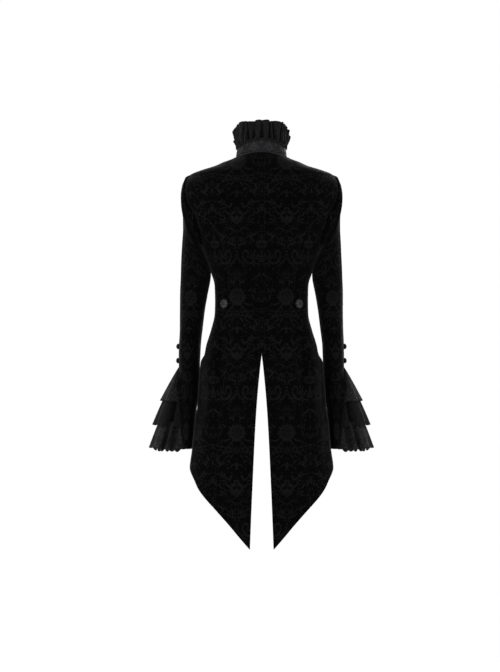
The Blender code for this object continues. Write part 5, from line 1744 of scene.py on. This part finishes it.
def add_floor():
    """A round pale floor."""
    turns = all_round(FLOOR_SPOKES)
    ring = np.stack((np.cos(turns), np.sin(turns), np.zeros_like(turns)), axis=-1) * FLOOR_RADIUS
    points = np.concatenate((ring, ring * 0.5, [[0, 0, 0]])) + np.array((0, 0, FLOOR_HEIGHT))
    count = FLOOR_SPOKES
    outer = [(k, (k + 1) % count, count + (k + 1) % count, count + k) for k in range(count)]
    inner = [(count + k, count + (k + 1) % count, 2 * count) for k in range(count)]
    mesh = bpy.data.meshes.new("studio_floor")
    mesh.from_pydata(points.tolist(), [], outer + inner)
    mesh.materials.append(made(paper_coated_matt))
    floor = bpy.data.objects.new("studio_floor", mesh)
    bpy.context.scene.collection.objects.link(floor)


def add_light(name, place, size, power):
    """A soft square light that faces the middle of the coat."""
    light = bpy.data.lights.new(name, "AREA")
    light.shape = "SQUARE"
    light.size = size
    light.energy = power
    item = bpy.data.objects.new(name, light)
    item.location = place
    towards = Vector((0, 0, CAMERA_HEIGHT)) - Vector(place)
    item.rotation_euler = towards.to_track_quat("-Z", "Y").to_euler()
    bpy.context.scene.collection.objects.link(item)


def add_camera():
    """A level camera behind the coat, at the photo's distance and height."""
    camera = bpy.data.cameras.new("camera")
    camera.sensor_fit = "VERTICAL"
    camera.sensor_height = SENSOR_HEIGHT
    camera.lens = SENSOR_HEIGHT * CAMERA_DISTANCE / PICTURE_HEIGHT
    item = bpy.data.objects.new("camera", camera)
    item.location = (CAMERA_ACROSS, CAMERA_DISTANCE, CAMERA_HEIGHT)
    item.rotation_euler = (math.radians(90), 0, math.radians(180))
    bpy.context.scene.collection.objects.link(item)
    bpy.context.scene.camera = item


def add_studio():
    """An evenly lit white studio with its lights, camera and floor."""
    scene = bpy.context.scene
    world = bpy.data.worlds.new("pale_studio")
    world.use_nodes = True
    background = world.node_tree.nodes["Background"]
    background.inputs["Color"].default_value = (1.0, 1.0, 1.0, 1.0)
    background.inputs["Strength"].default_value = 1.0
    scene.world = world
    scene.view_settings.view_transform = "Standard"
    for light in LIGHTS:
        add_light(*light)
    add_camera()
    add_floor()


# Operators

class COAT_OT_torso(bpy.types.Operator):
    """Make the six velvet panels of the torso and tails, with their topstitching"""
    bl_idname = "coat.torso"
    bl_label = "Velvet torso and tails"

    def execute(self, context):
        centre, side_back, front = centre_back_layout(), side_back_layout(), front_layout()
        from_start = with_rows_above(centre.from_start, YOKE_ROWS)
        from_end = with_rows_above(centre.from_end, YOKE_ROWS)
        # The stitching of a front's edge starts near the throat.
        from_throat = slice(5 * ROWS_A_NECK_TURN, None)
        lines = []
        for side in (1, -1):
            points = add_centre_back(side, centre)
            above_vent = points[:, 0, 2] > VENT_TOP
            seam = line_on(points[above_vent], from_start[above_vent], TOPSTITCH_FROM_SEAM)
            neck_line = points[1:3].mean(axis=0), grid_normals(points)[1]
            princess = line_on(points[:, ::-1], from_end[:, ::-1], TOPSTITCH_FROM_SEAM, -1.0)
            add_panel("side_back", side, side_back, 0.0)
            points = add_panel("front", side, front, 180.0, side < 0, (True, False))
            from_edge = front.from_end[from_throat, ::-1]
            edge = line_on(points[from_throat, ::-1], from_edge, EDGE_STITCH, -1.0)
            lines += [on_side(line, side) for line in (seam, neck_line, princess, edge)]
        add_stitches("torso_stitches", lines)
        return {"FINISHED"}


class COAT_OT_sleeves(bpy.types.Operator):
    """Make both velvet sleeves, each in an upper and an under piece"""
    bl_idname = "coat.sleeves"
    bl_label = "Velvet sleeves"

    def execute(self, context):
        # The stitching beside the hind seam starts below the sleeve's puffed head.
        below_head = slice(2 * CAP_ROWS, None)
        lines = []
        for side in (1, -1):
            points, from_start = add_sleeve("under_sleeve", under_range, UNDER_SLEEVE_COLUMNS, side)
            line = line_on(points[below_head], from_start[below_head], EDGE_STITCH, -1.0)
            lines.append(on_side(line, side))
            add_sleeve("upper_sleeve", upper_range, UPPER_SLEEVE_COLUMNS, side)
        add_stitches("sleeve_stitches", lines)
        return {"FINISHED"}


class COAT_OT_flounces(bpy.types.Operator):
    """Make the three cuff flounces of each sleeve, with their rolled hems"""
    bl_idname = "coat.flounces"
    bl_label = "Cuff flounces"

    def execute(self, context):
        figured = polyester_satin_woven_jacquard, "jacquard"
        plain = polyester_satin_gathered, "ruffle_satin"
        cloths = (figured, plain, figured)
        for number, (flounce, cloth) in enumerate(zip(FLOUNCES, cloths), start=1):
            for side in (1, -1):
                add_flounce(number, flounce, *cloth, side)
        return {"FINISHED"}


class COAT_OT_collar(bpy.types.Operator):
    """Make the collar band, its binding and the frill"""
    bl_idname = "coat.collar"
    bl_label = "Collar"

    def execute(self, context):
        add_collar_band()
        add_collar_binding()
        add_frill()
        return {"FINISHED"}


class COAT_OT_belt(bpy.types.Operator):
    """Make the half belt with its topstitching"""
    bl_idname = "coat.belt"
    bl_label = "Half belt"

    def execute(self, context):
        add_belt()
        return {"FINISHED"}


class COAT_OT_buttons(bpy.types.Operator):
    """Make the eleven antique silver buttons"""
    bl_idname = "coat.buttons"
    bl_label = "Buttons"

    def execute(self, context):
        add_buttons()
        return {"FINISHED"}


class COAT_OT_studio(bpy.types.Operator):
    """Make the pale floor, the soft lights and the camera"""
    bl_idname = "coat.studio"
    bl_label = "Studio"

    def execute(self, context):
        add_studio()
        return {"FINISHED"}


OPERATORS = (
    COAT_OT_torso, COAT_OT_sleeves, COAT_OT_flounces, COAT_OT_collar, COAT_OT_belt,
    COAT_OT_buttons, COAT_OT_studio,
)


class COAT_PT_builder(bpy.types.Panel):
    """Sidebar panel that lists the coat's sizes, colours and pieces"""
    bl_label = "Gothic velvet coat"
    bl_idname = "COAT_PT_builder"
    bl_space_type = "VIEW_3D"
    bl_region_type = "UI"
    bl_category = "Coat"

    def draw(self, context):
        for group in (context.scene.coat_sizes, context.scene.coat_colours):
            for name in group.__annotations__:
                self.layout.prop(group, name)
        for operator in OPERATORS:
            self.layout.operator(operator.bl_idname)


CLASSES = (COAT_PG_sizes, COAT_PG_colours, *OPERATORS, COAT_PT_builder)


def register():
    """Registers the classes and hangs the coat's sizes and colours on the scene."""
    for item in CLASSES:
        bpy.utils.register_class(item)
    bpy.types.Scene.coat_sizes = bpy.props.PointerProperty(type=COAT_PG_sizes)
    bpy.types.Scene.coat_colours = bpy.props.PointerProperty(type=COAT_PG_colours)


def unregister():
    """Takes away all that register gave."""
    del bpy.types.Scene.coat_sizes
    del bpy.types.Scene.coat_colours
    for item in reversed(CLASSES):
        bpy.utils.unregister_class(item)


def main():
    """Makes the whole coat and its studio."""
    register()
    bpy.ops.coat.torso()
    bpy.ops.coat.sleeves()
    bpy.ops.coat.flounces()
    bpy.ops.coat.collar()
    bpy.ops.coat.belt()
    bpy.ops.coat.buttons()
    bpy.ops.coat.studio()


if __name__ == "__main__":
    main()
